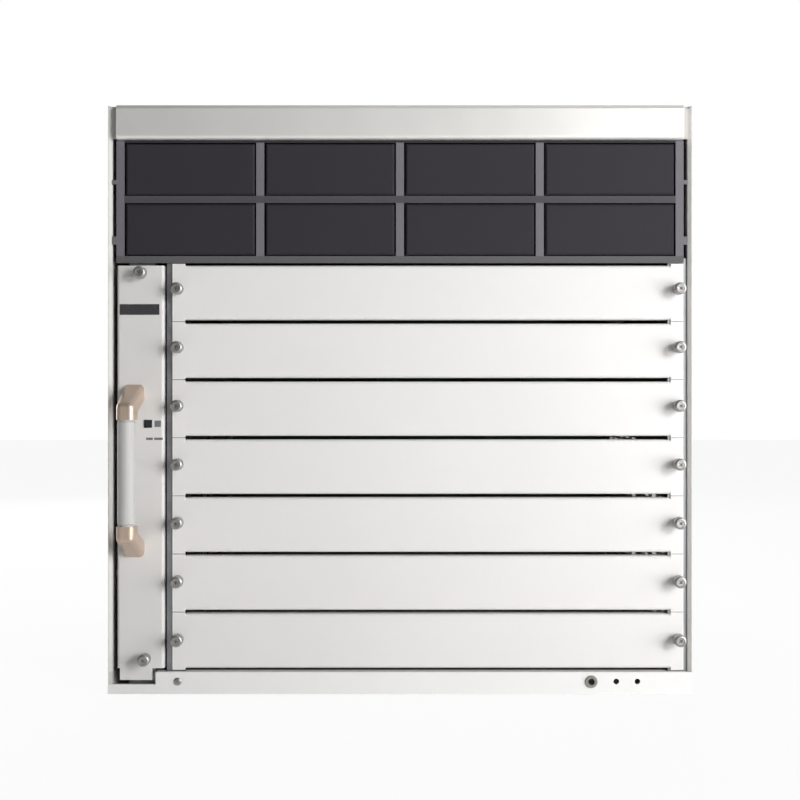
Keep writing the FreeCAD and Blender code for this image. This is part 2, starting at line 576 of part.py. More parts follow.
def spring_clip(x, z, half_width, side):
    """Shallow bowed tongue that bears on the wall of the bay."""
    reach = BLANK_SIDE_GAP - RUNNING_GAP
    root = x + side * half_width
    middle = FRONT_Y + BLANK_FRONT + BLANK_RETURN / 2 + CLIP_SETBACK
    low = z - CLIP_HEIGHT / 2
    outline = [FreeCAD.Vector(root, middle - CLIP_LENGTH / 2, low),
               FreeCAD.Vector(root + side * reach, middle, low),
               FreeCAD.Vector(root, middle + CLIP_LENGTH / 2, low)]
    return polygon_prism(outline, FreeCAD.Vector(0, 0, CLIP_HEIGHT))


# ---- card cage ----
def cage_wall(left):
    """Upright wall of the card cage, with air windows above each card guide."""
    wall = block(left, left + CAGE_SHEET, RAIL_BACK, REAR_PANEL_DEPTH, SHEET, POWER_FLOOR_UNDER)
    windows = []
    for number in range(1, SLOT_COUNT + 1):
        low = slot_middle(number) + WINDOW_RISE - WINDOW_HEIGHT / 2
        for column in range(WINDOW_COLUMNS):
            depth = GUIDE_START + WINDOW_MARGIN + column * WINDOW_PITCH
            windows.append(block(left, left + CAGE_SHEET, depth, depth + WINDOW_PITCH - WINDOW_BAR,
                                 low, low + WINDOW_HEIGHT))
    return wall.cut(windows)


def mounting_rails():
    """Upright strips that the ears of the slot covers are screwed to; the right one reaches the hem."""
    rails = []
    for (left, right), x in zip(RAIL_SPANS, (SCREW_LEFT_X, SCREW_RIGHT_X)):
        rail = block(left, right, RAIL_FRONT, RAIL_BACK, SHEET, POWER_FLOOR_UNDER)
        holes = [screw_hole(x, slot_middle(number) + SCREW_RISE, RAIL_FRONT, RAIL_BACK)
                 for number in range(1, SLOT_COUNT + 1)]
        rails.append(rail.cut(holes))
    return Part.Compound(rails)


def card_guide(wall_x, side, number):
    """Grooved runner for one edge of a card; side is +1 on the left wall."""
    z = slot_middle(number) - GUIDE_DROP
    tip = wall_x + side * GUIDE_WIDTH
    runner = block(wall_x, tip, GUIDE_START, BACKPLANE_DEPTH, z - GUIDE_HEIGHT / 2, z + GUIDE_HEIGHT / 2)
    groove = block(tip - side * GUIDE_GROOVE_DEPTH, tip, GUIDE_START, BACKPLANE_DEPTH,
                   z - GUIDE_GROOVE / 2, z + GUIDE_GROOVE / 2)
    return runner.cut(groove)


def card_guides():
    """A pair of runners for each slot."""
    guides = []
    for number in range(1, SLOT_COUNT + 1):
        guides.append(card_guide(CAGE_LEFT + CAGE_SHEET, 1, number))
        guides.append(card_guide(CAGE_RIGHT - CAGE_SHEET, -1, number))
    return Part.Compound(guides)


def backplane():
    """Board across the rear of the card cage."""
    return block(CAGE_LEFT + CAGE_SHEET, CAGE_RIGHT - CAGE_SHEET, BACKPLANE_DEPTH, BACKPLANE_DEPTH + BOARD,
                 SHEET + BACKPLANE_FLOOR_GAP, POWER_FLOOR_UNDER - BACKPLANE_ROOF_GAP)


def power_board():
    """Board across the rear of the power bays."""
    inner = CAGE_OUTER - POWER_SHEET
    return block(-inner, inner, POWER_DEPTH, POWER_DEPTH + BOARD, POWER_FLOOR_TOP, ROOF_UNDER)


def connector(x, z, board_depth):
    """Shrouded socket on the front of a board."""
    front = board_depth - CONNECTOR_DEPTH
    half = CONNECTOR_LENGTH / 2
    rise = CONNECTOR_HEIGHT / 2
    body = block(x - half, x + half, front, board_depth, z - rise, z + rise)
    inner_half = half - CONNECTOR_WALL
    inner_rise = rise - CONNECTOR_WALL
    return body.cut(block(x - inner_half, x + inner_half, front, board_depth - CONNECTOR_WALL,
                          z - inner_rise, z + inner_rise))


def connectors():
    """Sockets for the cards, two to a slot, and one for each power supply."""
    sockets = []
    middle = (CAGE_LEFT + CAGE_RIGHT) / 2
    for number in range(1, SLOT_COUNT + 1):
        for place in range(CONNECTORS_PER_SLOT):
            x = middle + (place - (CONNECTORS_PER_SLOT - 1) / 2) * CONNECTOR_PITCH
            sockets.append(connector(x, slot_middle(number) - GUIDE_DROP, BACKPLANE_DEPTH))
    for number in range(1, BAY_COLUMNS * BAY_ROWS + 1):
        x, z = bay_middle(number)
        sockets.append(connector(x, z, POWER_DEPTH))
    return Part.Compound(sockets)


# ---- slot covers ----
def slot_cover(number):
    """Blank cover of one slot: folded top and bottom edges, and a taller flat ear at each end."""
    z = slot_middle(number)
    ears = [block(x, x + EAR_WIDTH, COVER_DEPTH, COVER_BACK, z - EAR_HEIGHT / 2, z + EAR_HEIGHT / 2)
            for x in (COVER_LEFT, COVER_RIGHT - EAR_WIDTH)]
    start = COVER_LEFT + EAR_WIDTH
    length = COVER_RIGHT - COVER_LEFT - 2 * EAR_WIDTH

    def place(across, depth):
        return FreeCAD.Vector(start, FRONT_Y + depth, z + across)

    web = bent_channel(place, -COVER_HEIGHT / 2, COVER_HEIGHT / 2, COVER_DEPTH, COVER_RETURN,
                       COVER_SHEET, COVER_BEND, FreeCAD.Vector(length, 0, 0))
    holes = [screw_hole(x, z + SCREW_RISE, COVER_DEPTH, COVER_BACK) for x in (SCREW_LEFT_X, SCREW_RIGHT_X)]
    relief = [block(x, x + MOUNTING_RAIL_WIDTH, COVER_BACK, COVER_DEPTH + COVER_RETURN,
                    z - EAR_HEIGHT / 2, z + EAR_HEIGHT / 2)
              for x in (CAGE_LEFT + 2 * RUNNING_GAP, CAGE_RIGHT - MOUNTING_RAIL_WIDTH - 2 * RUNNING_GAP)]
    return join(ears + [web]).cut(holes + relief)


def screw_hole(x, z, d0, d1):
    """What a captive screw's shank passes through."""
    return flat_sided_rod(x, z, SCREW_HOLE, SCREW_HOLE_FLATS, d0, d1)


def captive_screw(x, z, seat):
    """Thumbscrew held in the sheet whose front is at depth seat: fluted knob, collar and shank."""
    collar_front = seat - COLLAR_LENGTH
    knob = flat_sided_rod(x, z, KNOB_RADIUS, KNOB_FLUTES, collar_front - KNOB_LENGTH, collar_front)
    collar = flat_sided_rod(x, z, COLLAR_RADIUS, COLLAR_FLATS, collar_front, seat)
    shank = flat_sided_rod(x, z, SHANK_RADIUS, SHANK_FLATS, seat, seat + SHANK_LENGTH)
    return join([knob, collar, shank])


def slot_cover_screws(number):
    """The two thumbscrews of one cover."""
    z = slot_middle(number) + SCREW_RISE
    return Part.Compound([captive_screw(x, z, COVER_DEPTH) for x in (SCREW_LEFT_X, SCREW_RIGHT_X)])


# ---- fan tray ----
def fan_tray_face():
    """Face of the tray: long edges folded back, and a tongue that reaches down beside the fascia."""
    def place(across, depth):
        return FreeCAD.Vector(across, FRONT_Y + depth, TRAY_FACE_BOTTOM)

    web = bent_channel(place, TRAY_LEFT, TRAY_RIGHT, TRAY_FACE_DEPTH, TRAY_FACE_RETURN, TRAY_FACE_SHEET,
                       TRAY_FACE_BEND, FreeCAD.Vector(0, 0, TRAY_FACE_TOP - TRAY_FACE_BOTTOM))
    tongue = block(TRAY_LEFT + TRAY_FACE_BEND, TRAY_LEFT + TONGUE_WIDTH, TRAY_FACE_DEPTH, FRAME_FRONT,
                   TONGUE_BOTTOM, TRAY_FACE_BOTTOM)
    holes = [screw_hole(x, z, TRAY_FACE_DEPTH, FRAME_FRONT) for x, z in (TRAY_SCREW_TOP, TRAY_SCREW_BOTTOM)]
    return join([web, tongue]).cut(holes)


def fan_tray_frame():
    """Shallow pan on its side: a wall with an opening for each fan, and four turned edges."""
    outer = block(FRAME_LEFT, FRAME_RIGHT, FRAME_FRONT, FRAME_REAR, FRAME_BOTTOM, FRAME_TOP)
    inner = block(FRAME_LEFT, FAN_RIGHT, FRAME_FRONT + FRAME_SHEET, FRAME_REAR - FRAME_SHEET,
                  FRAME_BOTTOM + FRAME_SHEET, FRAME_TOP - FRAME_SHEET)
    half = FAN_SIZE / 2 - FAN_SEAT
    openings = [block(FAN_RIGHT, FRAME_RIGHT, depth - half, depth + half, z - half, z + half)
                for depth, z in fan_centres()]
    return outer.cut([inner] + openings)


def fan_centres():
    """Depth and height of each fan's axis, from the top front one, a row at a time."""
    centres = []
    for row in range(FAN_ROWS):
        z = FRAME_MIDDLE_Z + ((FAN_ROWS - 1) / 2 - row) * FAN_ROW_PITCH
        for column in range(FAN_COLUMNS):
            depth = FRAME_MIDDLE_DEPTH + (column - (FAN_COLUMNS - 1) / 2) * FAN_COLUMN_PITCH
            centres.append((depth, z))
    return centres


def fan_housing(depth, z):
    """Square body with bevelled corners and a round bore; four struts carry its motor plate."""
    half = FAN_SIZE / 2
    body = block(FAN_LEFT, FAN_RIGHT, depth - half, depth + half, z - half, z + half)
    corners = [edge for edge in body.Edges if abs(edge.Length - FAN_THICKNESS) < 0.01]
    body = body.makeChamfer(FAN_CORNER, corners).cut(rod_right(FAN_LEFT, FAN_RIGHT, depth, z, FAN_BORE))
    plate = flat_sided_disc(FAN_LEFT, FAN_LEFT + MOTOR_PLATE, FRONT_Y + depth, z, HUB_RADIUS,
                            MOTOR_PLATE_FLATS)
    reach = FAN_BORE + STRUT_LAP
    bar = block(FAN_LEFT, FAN_LEFT + MOTOR_PLATE, depth - reach, depth + reach,
                z - STRUT_WIDTH / 2, z + STRUT_WIDTH / 2)
    axis_point = FreeCAD.Vector(0, FRONT_Y + depth, z)
    struts = []
    for angle in (45, 135):
        strut = bar.copy()
        strut.rotate(axis_point, FreeCAD.Vector(1, 0, 0), angle)
        struts.append(strut)
    return join([body, plate] + struts)


def fan_housings():
    """All the fan housings of the tray."""
    return Part.Compound([fan_housing(depth, z) for depth, z in fan_centres()])


def rotor():
    """Impeller on the X axis through the origin: a hub cup that covers the motor, and canted blades."""
    start = FAN_LEFT + MOTOR_PLATE + ROTOR_END_GAP
    hub = flat_sided_disc(start, start + HUB_LENGTH, 0, 0, HUB_RADIUS, HUB_FLATS)
    slope = math.radians(BLADE_ANGLE)
    along = FreeCAD.Vector(math.sin(slope), math.cos(slope), 0)
    across = FreeCAD.Vector(math.cos(slope), -math.sin(slope), 0)
    root = FreeCAD.Vector(start + HUB_LENGTH / 2, 0, HUB_RADIUS - BLADE_ROOT_SINK)
    half = BLADE_CHORD / 2
    skin = across * BLADE_THICKNESS
    crown = root + across * BLADE_CAMBER
    outline = [root - along * half, crown, root + along * half,
               root + along * half + skin, crown + skin, root - along * half + skin]
    tip = math.sqrt((FAN_BORE - BLADE_TIP_GAP) ** 2 - half ** 2)
    blade = polygon_prism(outline, FreeCAD.Vector(0, 0, tip - root.z))
    blades = []
    for number in range(BLADE_COUNT):
        turned = blade.copy()
        turned.rotate(FreeCAD.Vector(0, 0, 0), FreeCAD.Vector(1, 0, 0), number * 360 / BLADE_COUNT)
        blades.append(turned)
    return join([hub] + blades)


def fan_plug():
    """Connector on the rear of the tray."""
    return block(TRAY_MIDDLE_X - PLUG_WIDTH / 2, TRAY_MIDDLE_X + PLUG_WIDTH / 2,
                 FRAME_REAR, FRAME_REAR + PLUG_LENGTH,
                 FRAME_MIDDLE_Z - PLUG_HEIGHT / 2, FRAME_MIDDLE_Z + PLUG_HEIGHT / 2)


def fan_socket():
    """Shroud on the rear panel that takes the tray's plug."""
    half_width = PLUG_WIDTH / 2 + PLUG_GAP
    half_height = PLUG_HEIGHT / 2 + PLUG_GAP
    mouth = FRAME_REAR + SOCKET_WALL
    shroud = block(TRAY_MIDDLE_X - half_width - SOCKET_WALL, TRAY_MIDDLE_X + half_width + SOCKET_WALL,
                   mouth, REAR_PANEL_DEPTH,
                   FRAME_MIDDLE_Z - half_height - SOCKET_WALL, FRAME_MIDDLE_Z + half_height + SOCKET_WALL)
    return shroud.cut(block(TRAY_MIDDLE_X - half_width, TRAY_MIDDLE_X + half_width,
                            mouth, FRAME_REAR + PLUG_LENGTH + PLUG_GAP,
                            FRAME_MIDDLE_Z - half_height, FRAME_MIDDLE_Z + half_height))


def fan_tray_rails():
    """Hat-shaped runners under and over the tray; the front end of each takes a captive screw."""
    front = FRAME_FRONT + TRAY_FACE_RETURN / 2
    rear = FRAME_REAR
    rails = []
    limits = ((SHEET, FRAME_BOTTOM - RUNNING_GAP, TRAY_SCREW_BOTTOM, -1),
              (FRAME_TOP + RUNNING_GAP, POWER_FLOOR_UNDER, TRAY_SCREW_TOP, 1))
    for low, high, (x, z), side in limits:
        outer = block(TRAY_MIDDLE_X - RAIL_WIDTH / 2, TRAY_MIDDLE_X + RAIL_WIDTH / 2, front, rear, low, high)
        open_low = low if side < 0 else low + CAGE_SHEET
        open_high = high - CAGE_SHEET if side < 0 else high
        half = RAIL_WIDTH / 2 - CAGE_SHEET
        hollow = block(TRAY_MIDDLE_X - half, TRAY_MIDDLE_X + half, front + CAGE_SHEET, rear,
                       open_low, open_high)
        rails.append(outer.cut([hollow, screw_hole(x, z, front, front + CAGE_SHEET)]))
    return Part.Compound(rails)


def handle_foot():
    """Upper leg of the handle: it slopes out from the grip to a wider base on the face."""
    base_top = HANDLE_MIDDLE_Z + HANDLE_BASE_SPAN / 2
    front_top = HANDLE_MIDDLE_Z + HANDLE_FRONT_SPAN / 2
    front = -HANDLE_REACH
    elbow = front + 2 * GRIP_RADIUS + GRIP_SEAT
    side_view = [(front, front_top - HANDLE_LEG), (front, front_top), (TRAY_FACE_DEPTH, base_top),
                 (TRAY_FACE_DEPTH, base_top - HANDLE_LEG),
                 (elbow, front_top - HANDLE_LEG / 2), (elbow, front_top - HANDLE_LEG)]
    half_base = HANDLE_BASE_WIDTH / 2
    half_front = HANDLE_FRONT_WIDTH / 2
    points = [FreeCAD.Vector(HANDLE_X - half_base, FRONT_Y + depth, z) for depth, z in side_view]
    leg = polygon_prism(points, FreeCAD.Vector(HANDLE_BASE_WIDTH, 0, 0))
    plan = [(-half_base, TRAY_FACE_DEPTH), (-half_front, front), (half_front, front),
            (half_base, TRAY_FACE_DEPTH)]
    corners = [FreeCAD.Vector(HANDLE_X + across, FRONT_Y + depth, HANDLE_MIDDLE_Z) for across, depth in plan]
    leg = leg.common(polygon_prism(corners, FreeCAD.Vector(0, 0, HANDLE_BASE_SPAN)))
    rounded = [edge for edge in leg.Edges
               if abs(edge.BoundBox.YMin - FRONT_Y - front) < 0.01
               and edge.BoundBox.ZMax > front_top - 0.01]
    return leg.makeFillet(HANDLE_ROUND, rounded)


def handle_feet():
    """Both legs, the lower one mirrored."""
    upper = handle_foot()
    lower = upper.mirror(FreeCAD.Vector(0, 0, HANDLE_MIDDLE_Z), FreeCAD.Vector(0, 0, 1))
    return Part.Compound([upper, lower])


def handle_grip():
    """Round bar between the legs."""
    length = HANDLE_FRONT_SPAN - 2 * HANDLE_LEG
    start = FreeCAD.Vector(HANDLE_X, FRONT_Y - HANDLE_REACH + GRIP_RADIUS, HANDLE_MIDDLE_Z - length / 2)
    return Part.makeCylinder(GRIP_RADIUS, length, start)


def fan_tray_screws():
    """The two thumbscrews of the fan tray."""
    return Part.Compound([captive_screw(x, z, TRAY_FACE_DEPTH)
                          for x, z in (TRAY_SCREW_TOP, TRAY_SCREW_BOTTOM)])


def dark_strip():
    """Thin dark strip across the top of the tray's face."""
    left = TRAY_LEFT + TRAY_FACE_BEND
    middle = TRAY_FACE_TOP - STRIP_DROP
    return block(left, left + STRIP_WIDTH, TRAY_FACE_DEPTH - STRIP_THICKNESS, TRAY_FACE_DEPTH,
                 middle - STRIP_HEIGHT / 2, middle + STRIP_HEIGHT / 2)


def status_lens():
    """Small dark window of the fan status light."""
    half = LENS_SIZE / 2
    x = TRAY_RIGHT - LENS_INSET
    z = TRAY_FACE_TOP - LENS_DROP
    return block(x - half, x + half, TRAY_FACE_DEPTH - LENS_THICKNESS, TRAY_FACE_DEPTH, z - half, z + half)


def pieces():
    """Every piece with the name of its node."""
    right = side_panel()
    named = {
        "base_pan": base_pan(),
        "left_side_panel": mirrored(right),
        "right_side_panel": right,
        "top_cover": top_cover(),
        "rear_panel": rear_panel(),
        "top_bezel": top_bezel(),
        "bottom_fascia": bottom_fascia(),
        "wrist_strap_jack": wrist_strap_jack(),
        "chassis_screws": chassis_screws(),
        "power_cage_floor": power_cage_floor(),
        "power_cage_roof": power_cage_roof(),
        "power_cage_shelf": power_cage_shelf(),
        "power_cage_dividers": power_cage_dividers(),
        "left_cage_wall": cage_wall(CAGE_LEFT),
        "right_cage_wall": cage_wall(CAGE_RIGHT - CAGE_SHEET),
        "mounting_rails": mounting_rails(),
        "card_guides": card_guides(),
        "backplane": backplane(),
        "power_board": power_board(),
        "board_connectors": connectors(),
        "fan_tray_rails": fan_tray_rails(),
        "fan_socket": fan_socket(),
        "fan_tray_face": fan_tray_face(),
        "fan_tray_frame": fan_tray_frame(),
        "fan_housings": fan_housings(),
        "fan_plug": fan_plug(),
        "handle_feet": handle_feet(),
        "handle_grip": handle_grip(),
        "fan_tray_screws": fan_tray_screws(),
        "dark_strip": dark_strip(),
        "status_lens": status_lens(),
    }
    for number in range(1, SLOT_COUNT + 1):
        named[f"slot_cover_{number}"] = slot_cover(number)
        named[f"slot_cover_screws_{number}"] = slot_cover_screws(number)
    for number in range(1, BAY_COLUMNS * BAY_ROWS + 1):
        named[f"power_blank_{number}"] = power_blank(number)
    wheel = rotor()
    for number, (depth, z) in enumerate(fan_centres(), 1):
        turned = wheel.copy()
        turned.translate(FreeCAD.Vector(0, FRONT_Y + depth, z))
        named[f"fan_rotor_{number}"] = turned
    return named


os.makedirs("parts", exist_ok=True)
for name, shape in pieces().items():
    shape.exportStep(f"parts/{name}.step")
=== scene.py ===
import math

import bmesh
import bpy
from mathutils import Matrix, Vector


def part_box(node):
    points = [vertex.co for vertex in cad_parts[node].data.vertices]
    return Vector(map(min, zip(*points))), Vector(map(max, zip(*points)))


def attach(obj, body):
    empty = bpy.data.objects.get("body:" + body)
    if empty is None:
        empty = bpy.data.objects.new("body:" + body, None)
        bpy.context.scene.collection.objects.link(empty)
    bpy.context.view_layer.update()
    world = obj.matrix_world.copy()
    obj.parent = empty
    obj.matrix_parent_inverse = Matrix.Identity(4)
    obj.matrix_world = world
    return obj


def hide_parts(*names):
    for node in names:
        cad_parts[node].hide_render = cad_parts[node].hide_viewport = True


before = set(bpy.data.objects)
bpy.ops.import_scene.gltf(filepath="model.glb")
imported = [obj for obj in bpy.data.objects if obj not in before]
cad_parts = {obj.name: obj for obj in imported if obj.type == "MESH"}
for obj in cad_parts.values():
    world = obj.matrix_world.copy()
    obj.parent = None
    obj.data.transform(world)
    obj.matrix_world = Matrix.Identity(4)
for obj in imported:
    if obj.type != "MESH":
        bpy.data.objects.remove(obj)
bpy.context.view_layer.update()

MM = 0.001
SHEET = 1.5 * MM          # the chassis's panels
SLOTS = range(1, 8)
BAYS = range(1, 9)
FANS = range(1, 7)
CROSS_WAYS = ((1, 0), (0, 1))


# ---- materials ----
# noise and cell scales are per metre, depths and radii are in metres
EDGE_RADIUS = 0.0016
EDGE_TURNED = 0.72        # agreement of the two normals where the painted edge highlight is full
EDGE_FLAT = 0.985         # and where it fades out
PAINT_CLOUDS = 9.0
PAINT_SPECKS = 900.0
PAINT_PEEL = 1400.0
PAINT_GLOSS_PATCHES = 40.0
SPECK_START = 0.66
SPECK_END = 0.78
SPECK_AMOUNT = 0.25
SPECK_TONE = 0.82
BRUSH_LINES = 700.0
BRUSH_SMUDGES = 60.0
BRUSH_CONTRAST = 0.08
BRUSH_DEPTH = 0.000015
SPANGLE_CELLS = 160.0
SPANGLE_ROUGHNESS = 0.42
SPANGLE_DARK = 0.86
SPANGLE_LIGHT = 1.08
ZINC_WAVES = 500.0
ZINC_DEPTH = 0.00001
PLASTIC_CLOUDS = 25.0
PLASTIC_SMUDGES = 90.0
PLASTIC_SPARK = 1100.0
PLASTIC_CONTRAST = 0.08
BOARD_TRACKS = 170.0
BOARD_PADS = 230.0
BOARD_DEPTH = 0.00003


class Finish:
    """A material with a Principled shader, and short ways to add nodes that feed it."""

    def __init__(self, name, roughness, metallic=0.0, specular=0.5, coat=0.0):
        self.material = bpy.data.materials.new(name)
        self.material.use_nodes = True
        self.nodes = self.material.node_tree.nodes
        self.links = self.material.node_tree.links
        self.shader = self.nodes["Principled BSDF"]
        self.shader.inputs["Roughness"].default_value = roughness
        self.shader.inputs["Metallic"].default_value = metallic
        self.shader.inputs["Specular IOR Level"].default_value = specular
        self.shader.inputs["Coat Weight"].default_value = coat
        self.place = self.nodes.new("ShaderNodeTexCoord").outputs["Object"]

    def node(self, kind, settings=None, **inputs):
        """Adds a node; an input is a value or another node's output."""
        added = self.nodes.new("ShaderNode" + kind)
        for key, value in (settings or {}).items():
            setattr(added, key, value)
        for key, value in inputs.items():
            socket = added.inputs[int(key[1:]) if key[0] == "_" else key.replace("_", " ")]
            if isinstance(value, bpy.types.NodeSocket):
                self.links.new(value, socket)
            else:
                socket.default_value = value
        return added

    def stretched(self, scale):
        """Object coordinates, stretched by a different amount along each axis."""
        return self.node("Mapping", Vector=self.place, Scale=scale).outputs["Vector"]

    def noise(self, scale, detail=3.0, stretch=None):
        """Noise from 0 to 1; a larger scale is finer."""
        where = self.place if stretch is None else self.stretched(stretch)
        return self.node("TexNoise", Vector=where, Scale=scale, Detail=detail).outputs["Fac"]

    def math(self, operation, first, second=0.0):
        """Arithmetic on two inputs, each a value or another node's output."""
        return self.node("Math", {"operation": operation}, _0=first, _1=second).outputs[0]

    def spread(self, value, low, high, start=0.0, end=1.0):
        """Maps a value from start..end to low..high."""
        return self.node("MapRange", Value=value, From_Min=start, From_Max=end,
                         To_Min=low, To_Max=high).outputs["Result"]

    def mix(self, amount, first, second):
        """A colour between two, each a colour or another node's output."""
        mixed = self.node("Mix", {"data_type": "RGBA"}, _0=amount, _6=first, _7=second)
        return mixed.outputs[2]

    def edge(self, radius):
        """1 along edges, 0 on flat faces, from how far a bevel would turn the surface."""
        bevelled = self.node("Bevel", {"samples": 6}, Radius=radius).outputs["Normal"]
        plain = self.node("NewGeometry").outputs["Normal"]
        agreement = self.node("VectorMath", {"operation": "DOT_PRODUCT"}, _0=bevelled, _1=plain)
        return self.spread(agreement.outputs["Value"], 1.0, 0.0, EDGE_TURNED, EDGE_FLAT)

    def bump(self, height, distance):
        """Relief from an output; distance is the full depth in metres."""
        relief = self.node("Bump", Height=height, Distance=distance, Strength=1.0)
        self.links.new(relief.outputs["Normal"], self.shader.inputs["Normal"])

    def feed(self, socket, output):
        """Links an output to one of the shader's inputs."""
        self.links.new(output, self.shader.inputs[socket])

    def clouded(self, output, colour, contrast):
        """A colour that an output makes darker and lighter by a share."""
        return self.mix(output, shade(colour, 1 - contrast), shade(colour, 1 + contrast))

    def gloss(self, output, roughness, below, above):
        """Roughness that an output moves from below a value to above it."""
        self.feed("Roughness", self.spread(output, roughness - below, roughness + above))


def rgb(red, green, blue):
    """A scene-linear colour from 8-bit display values."""
    def linear(value):
        share = value / 255
        return share / 12.92 if share <= 0.04045 else ((share + 0.055) / 1.055) ** 2.4
    return (linear(red), linear(green), linear(blue), 1.0)


def shade(colour, factor):
    """A colour made lighter or darker."""
    return tuple(min(1.0, part * factor) for part in colour[:3]) + (1.0,)


def powder_coat(name, colour, roughness=0.45, mottle=0.03, grain=0.00003, edge_highlight=None,
                specular=0.4, metallic=0.0):
    """Baked paint on sheet metal: fine orange peel, faint cloudiness and, when given, a painted
    highlight along the edges.
    """
    paint = Finish(name, roughness, metallic, specular)
    tone = paint.clouded(paint.noise(PAINT_CLOUDS), colour, mottle)
    speck = paint.spread(paint.noise(PAINT_SPECKS, 2.0), 0.0, 1.0, SPECK_START, SPECK_END)
    tone = paint.mix(paint.math("MULTIPLY", speck, SPECK_AMOUNT), tone, shade(colour, SPECK_TONE))
    # painted highlight: the edges are made lighter, standing in for light caught on the bends and
    # rims
    if edge_highlight:
        tone = paint.mix(paint.edge(EDGE_RADIUS), tone, edge_highlight)
    paint.feed("Base Color", tone)
    paint.gloss(paint.noise(PAINT_GLOSS_PATCHES), roughness, below=0.05, above=0.06)
    paint.bump(paint.noise(PAINT_PEEL, 2.0), grain)
    return paint.material


def brushed_metal(name, colour, roughness, stretch, metallic=1.0):
    """Metal with fine lines along the axis of least stretch, and smudges in the gloss."""
    metal = Finish(name, roughness, metallic)
    lines = metal.noise(BRUSH_LINES, 4.0, stretch)
    metal.feed("Base Color", metal.clouded(lines, colour, BRUSH_CONTRAST))
    metal.gloss(metal.noise(BRUSH_SMUDGES), roughness, below=0.06, above=0.08)
    metal.bump(lines, BRUSH_DEPTH)
    return metal.material


def galvanised(name, colour):
    """Zinc-coated sheet with a faint spangle."""
    coat = Finish(name, SPANGLE_ROUGHNESS, metallic=0.85)
    grains = coat.node("TexVoronoi", Vector=coat.place, Scale=SPANGLE_CELLS)
    grey = coat.node("RGBToBW", Color=grains.outputs["Color"]).outputs["Val"]
    coat.feed("Base Color", coat.mix(grey, shade(colour, SPANGLE_DARK),
                                     shade(colour, SPANGLE_LIGHT)))
    coat.gloss(grey, SPANGLE_ROUGHNESS, below=0.08, above=0.1)
    coat.bump(coat.noise(ZINC_WAVES), ZINC_DEPTH)
    return coat.material


def moulded(name, colour, roughness=0.5, texture=0.00004):
    """Moulded plastic with a spark-eroded texture."""
    plastic = Finish(name, roughness)
    clouds = plastic.noise(PLASTIC_CLOUDS)
    plastic.feed("Base Color", plastic.clouded(clouds, colour, PLASTIC_CONTRAST))
    plastic.gloss(plastic.noise(PLASTIC_SMUDGES), roughness, below=0.06, above=0.08)
    plastic.bump(plastic.noise(PLASTIC_SPARK, 2.0), texture)
    return plastic.material


def laminate(name, colour, track_colour):
    """Circuit board: solder mask over tracks, with plated pads."""
    board = Finish(name, roughness=0.32, coat=0.3)
    flat = board.node("Mapping", Vector=board.place, Rotation=(math.pi / 2, 0, 0)).outputs["Vector"]
    tracks = board.node("TexBrick", {"offset": 0.37}, Vector=flat, Scale=BOARD_TRACKS,
                        Mortar_Size=0.018, Bias=0.1).outputs["Fac"]
    dots = board.node("TexVoronoi", Vector=flat, Scale=BOARD_PADS,
                      Randomness=0.35).outputs["Distance"]
    pads = board.spread(dots, 1.0, 0.0, start=0.16, end=0.2)
    tone = board.mix(tracks, colour, track_colour)
    board.feed("Base Color", board.mix(pads, tone, rgb(176, 160, 112)))
    board.bump(tracks, BOARD_DEPTH)
    return board.material


# the edge colours below are painted highlights along the bends and rims
cover_paint = powder_coat("cover paint", rgb(232, 230, 229), edge_highlight=rgb(252, 251, 250))
# the tray face is a darker copy of the cover paint: painted shade for the dimmer light on the
# chassis's left end
plate_shaded_paint = powder_coat("tray face shaded paint", rgb(223, 221, 219), edge_highlight=rgb(246, 245, 243))
shell_paint = powder_coat("shell paint", rgb(214, 212, 209), roughness=0.5)
fascia_paint = powder_coat("fascia paint", rgb(238, 237, 236), edge_highlight=rgb(242, 241, 240))
bezel_paint = powder_coat("bezel paint", rgb(233, 232, 229), roughness=0.36, mottle=0.015,
                          grain=0.000012, specular=0.5, metallic=0.5)
cage_paint = powder_coat("cage paint", rgb(115, 113, 118), roughness=0.5, specular=0.1)
# the shelf and sill lips are darker copies of the cage paint: painted shade, as the horizontal lips
# catch less light than the uprights
shelf_shaded_paint = powder_coat("shelf shaded paint", rgb(80, 78, 82), roughness=0.5, specular=0.1)
sill_shaded_paint = powder_coat("cage sill shaded paint", rgb(96, 95, 97), roughness=0.5, specular=0.1)
# the roof lip is near-black: painted shadow under the bezel's overhang
roof_shadow_paint = powder_coat("cage roof shadow paint", rgb(58, 56, 60), roughness=0.5, specular=0.1)
charcoal_paint = powder_coat("charcoal paint", rgb(54, 51, 57), roughness=0.55, specular=0.08)
zinc = galvanised("zinc plate", rgb(176, 178, 180))
# the mounting rails are a darker copy of the zinc plate: painted shade in the narrow gaps beside
# the covers
rail_shaded_zinc = galvanised("rail shaded zinc", rgb(145, 146, 148))
leg_finish = brushed_metal("handle leg finish", rgb(200, 179, 162), 0.3, (1, 1, 0.05),
                           metallic=0.55)
grip_metal = brushed_metal("grip metal", rgb(194, 193, 191), 0.6, (1, 1, 0.04), metallic=0.05)
screw_metal = brushed_metal("screw metal", rgb(158, 157, 156), 0.33, (0.2, 1, 0.2), metallic=0.8)
jack_metal = brushed_metal("jack metal", rgb(150, 148, 142), 0.3, (1, 0.1, 1), metallic=0.9)
board_laminate = laminate("board laminate", rgb(26, 62, 44), rgb(44, 92, 62))
connector_plastic = moulded("connector plastic", rgb(42, 42, 44))
contact_gold = brushed_metal("contact gold", rgb(120, 100, 60), 0.5, (1, 0.1, 1))
guide_plastic = moulded("guide plastic", rgb(58, 60, 62), roughness=0.55)
fan_plastic = moulded("fan plastic", rgb(38, 38, 40), roughness=0.48)
strip_film = moulded("strip film", rgb(62, 61, 64), roughness=0.25, texture=0.00001)
lens_plastic = moulded("lens plastic", rgb(34, 33, 37), roughness=0.16, texture=0.000005)
print_ink = moulded("print ink", rgb(112, 112, 116), roughness=0.6, texture=0.000005)

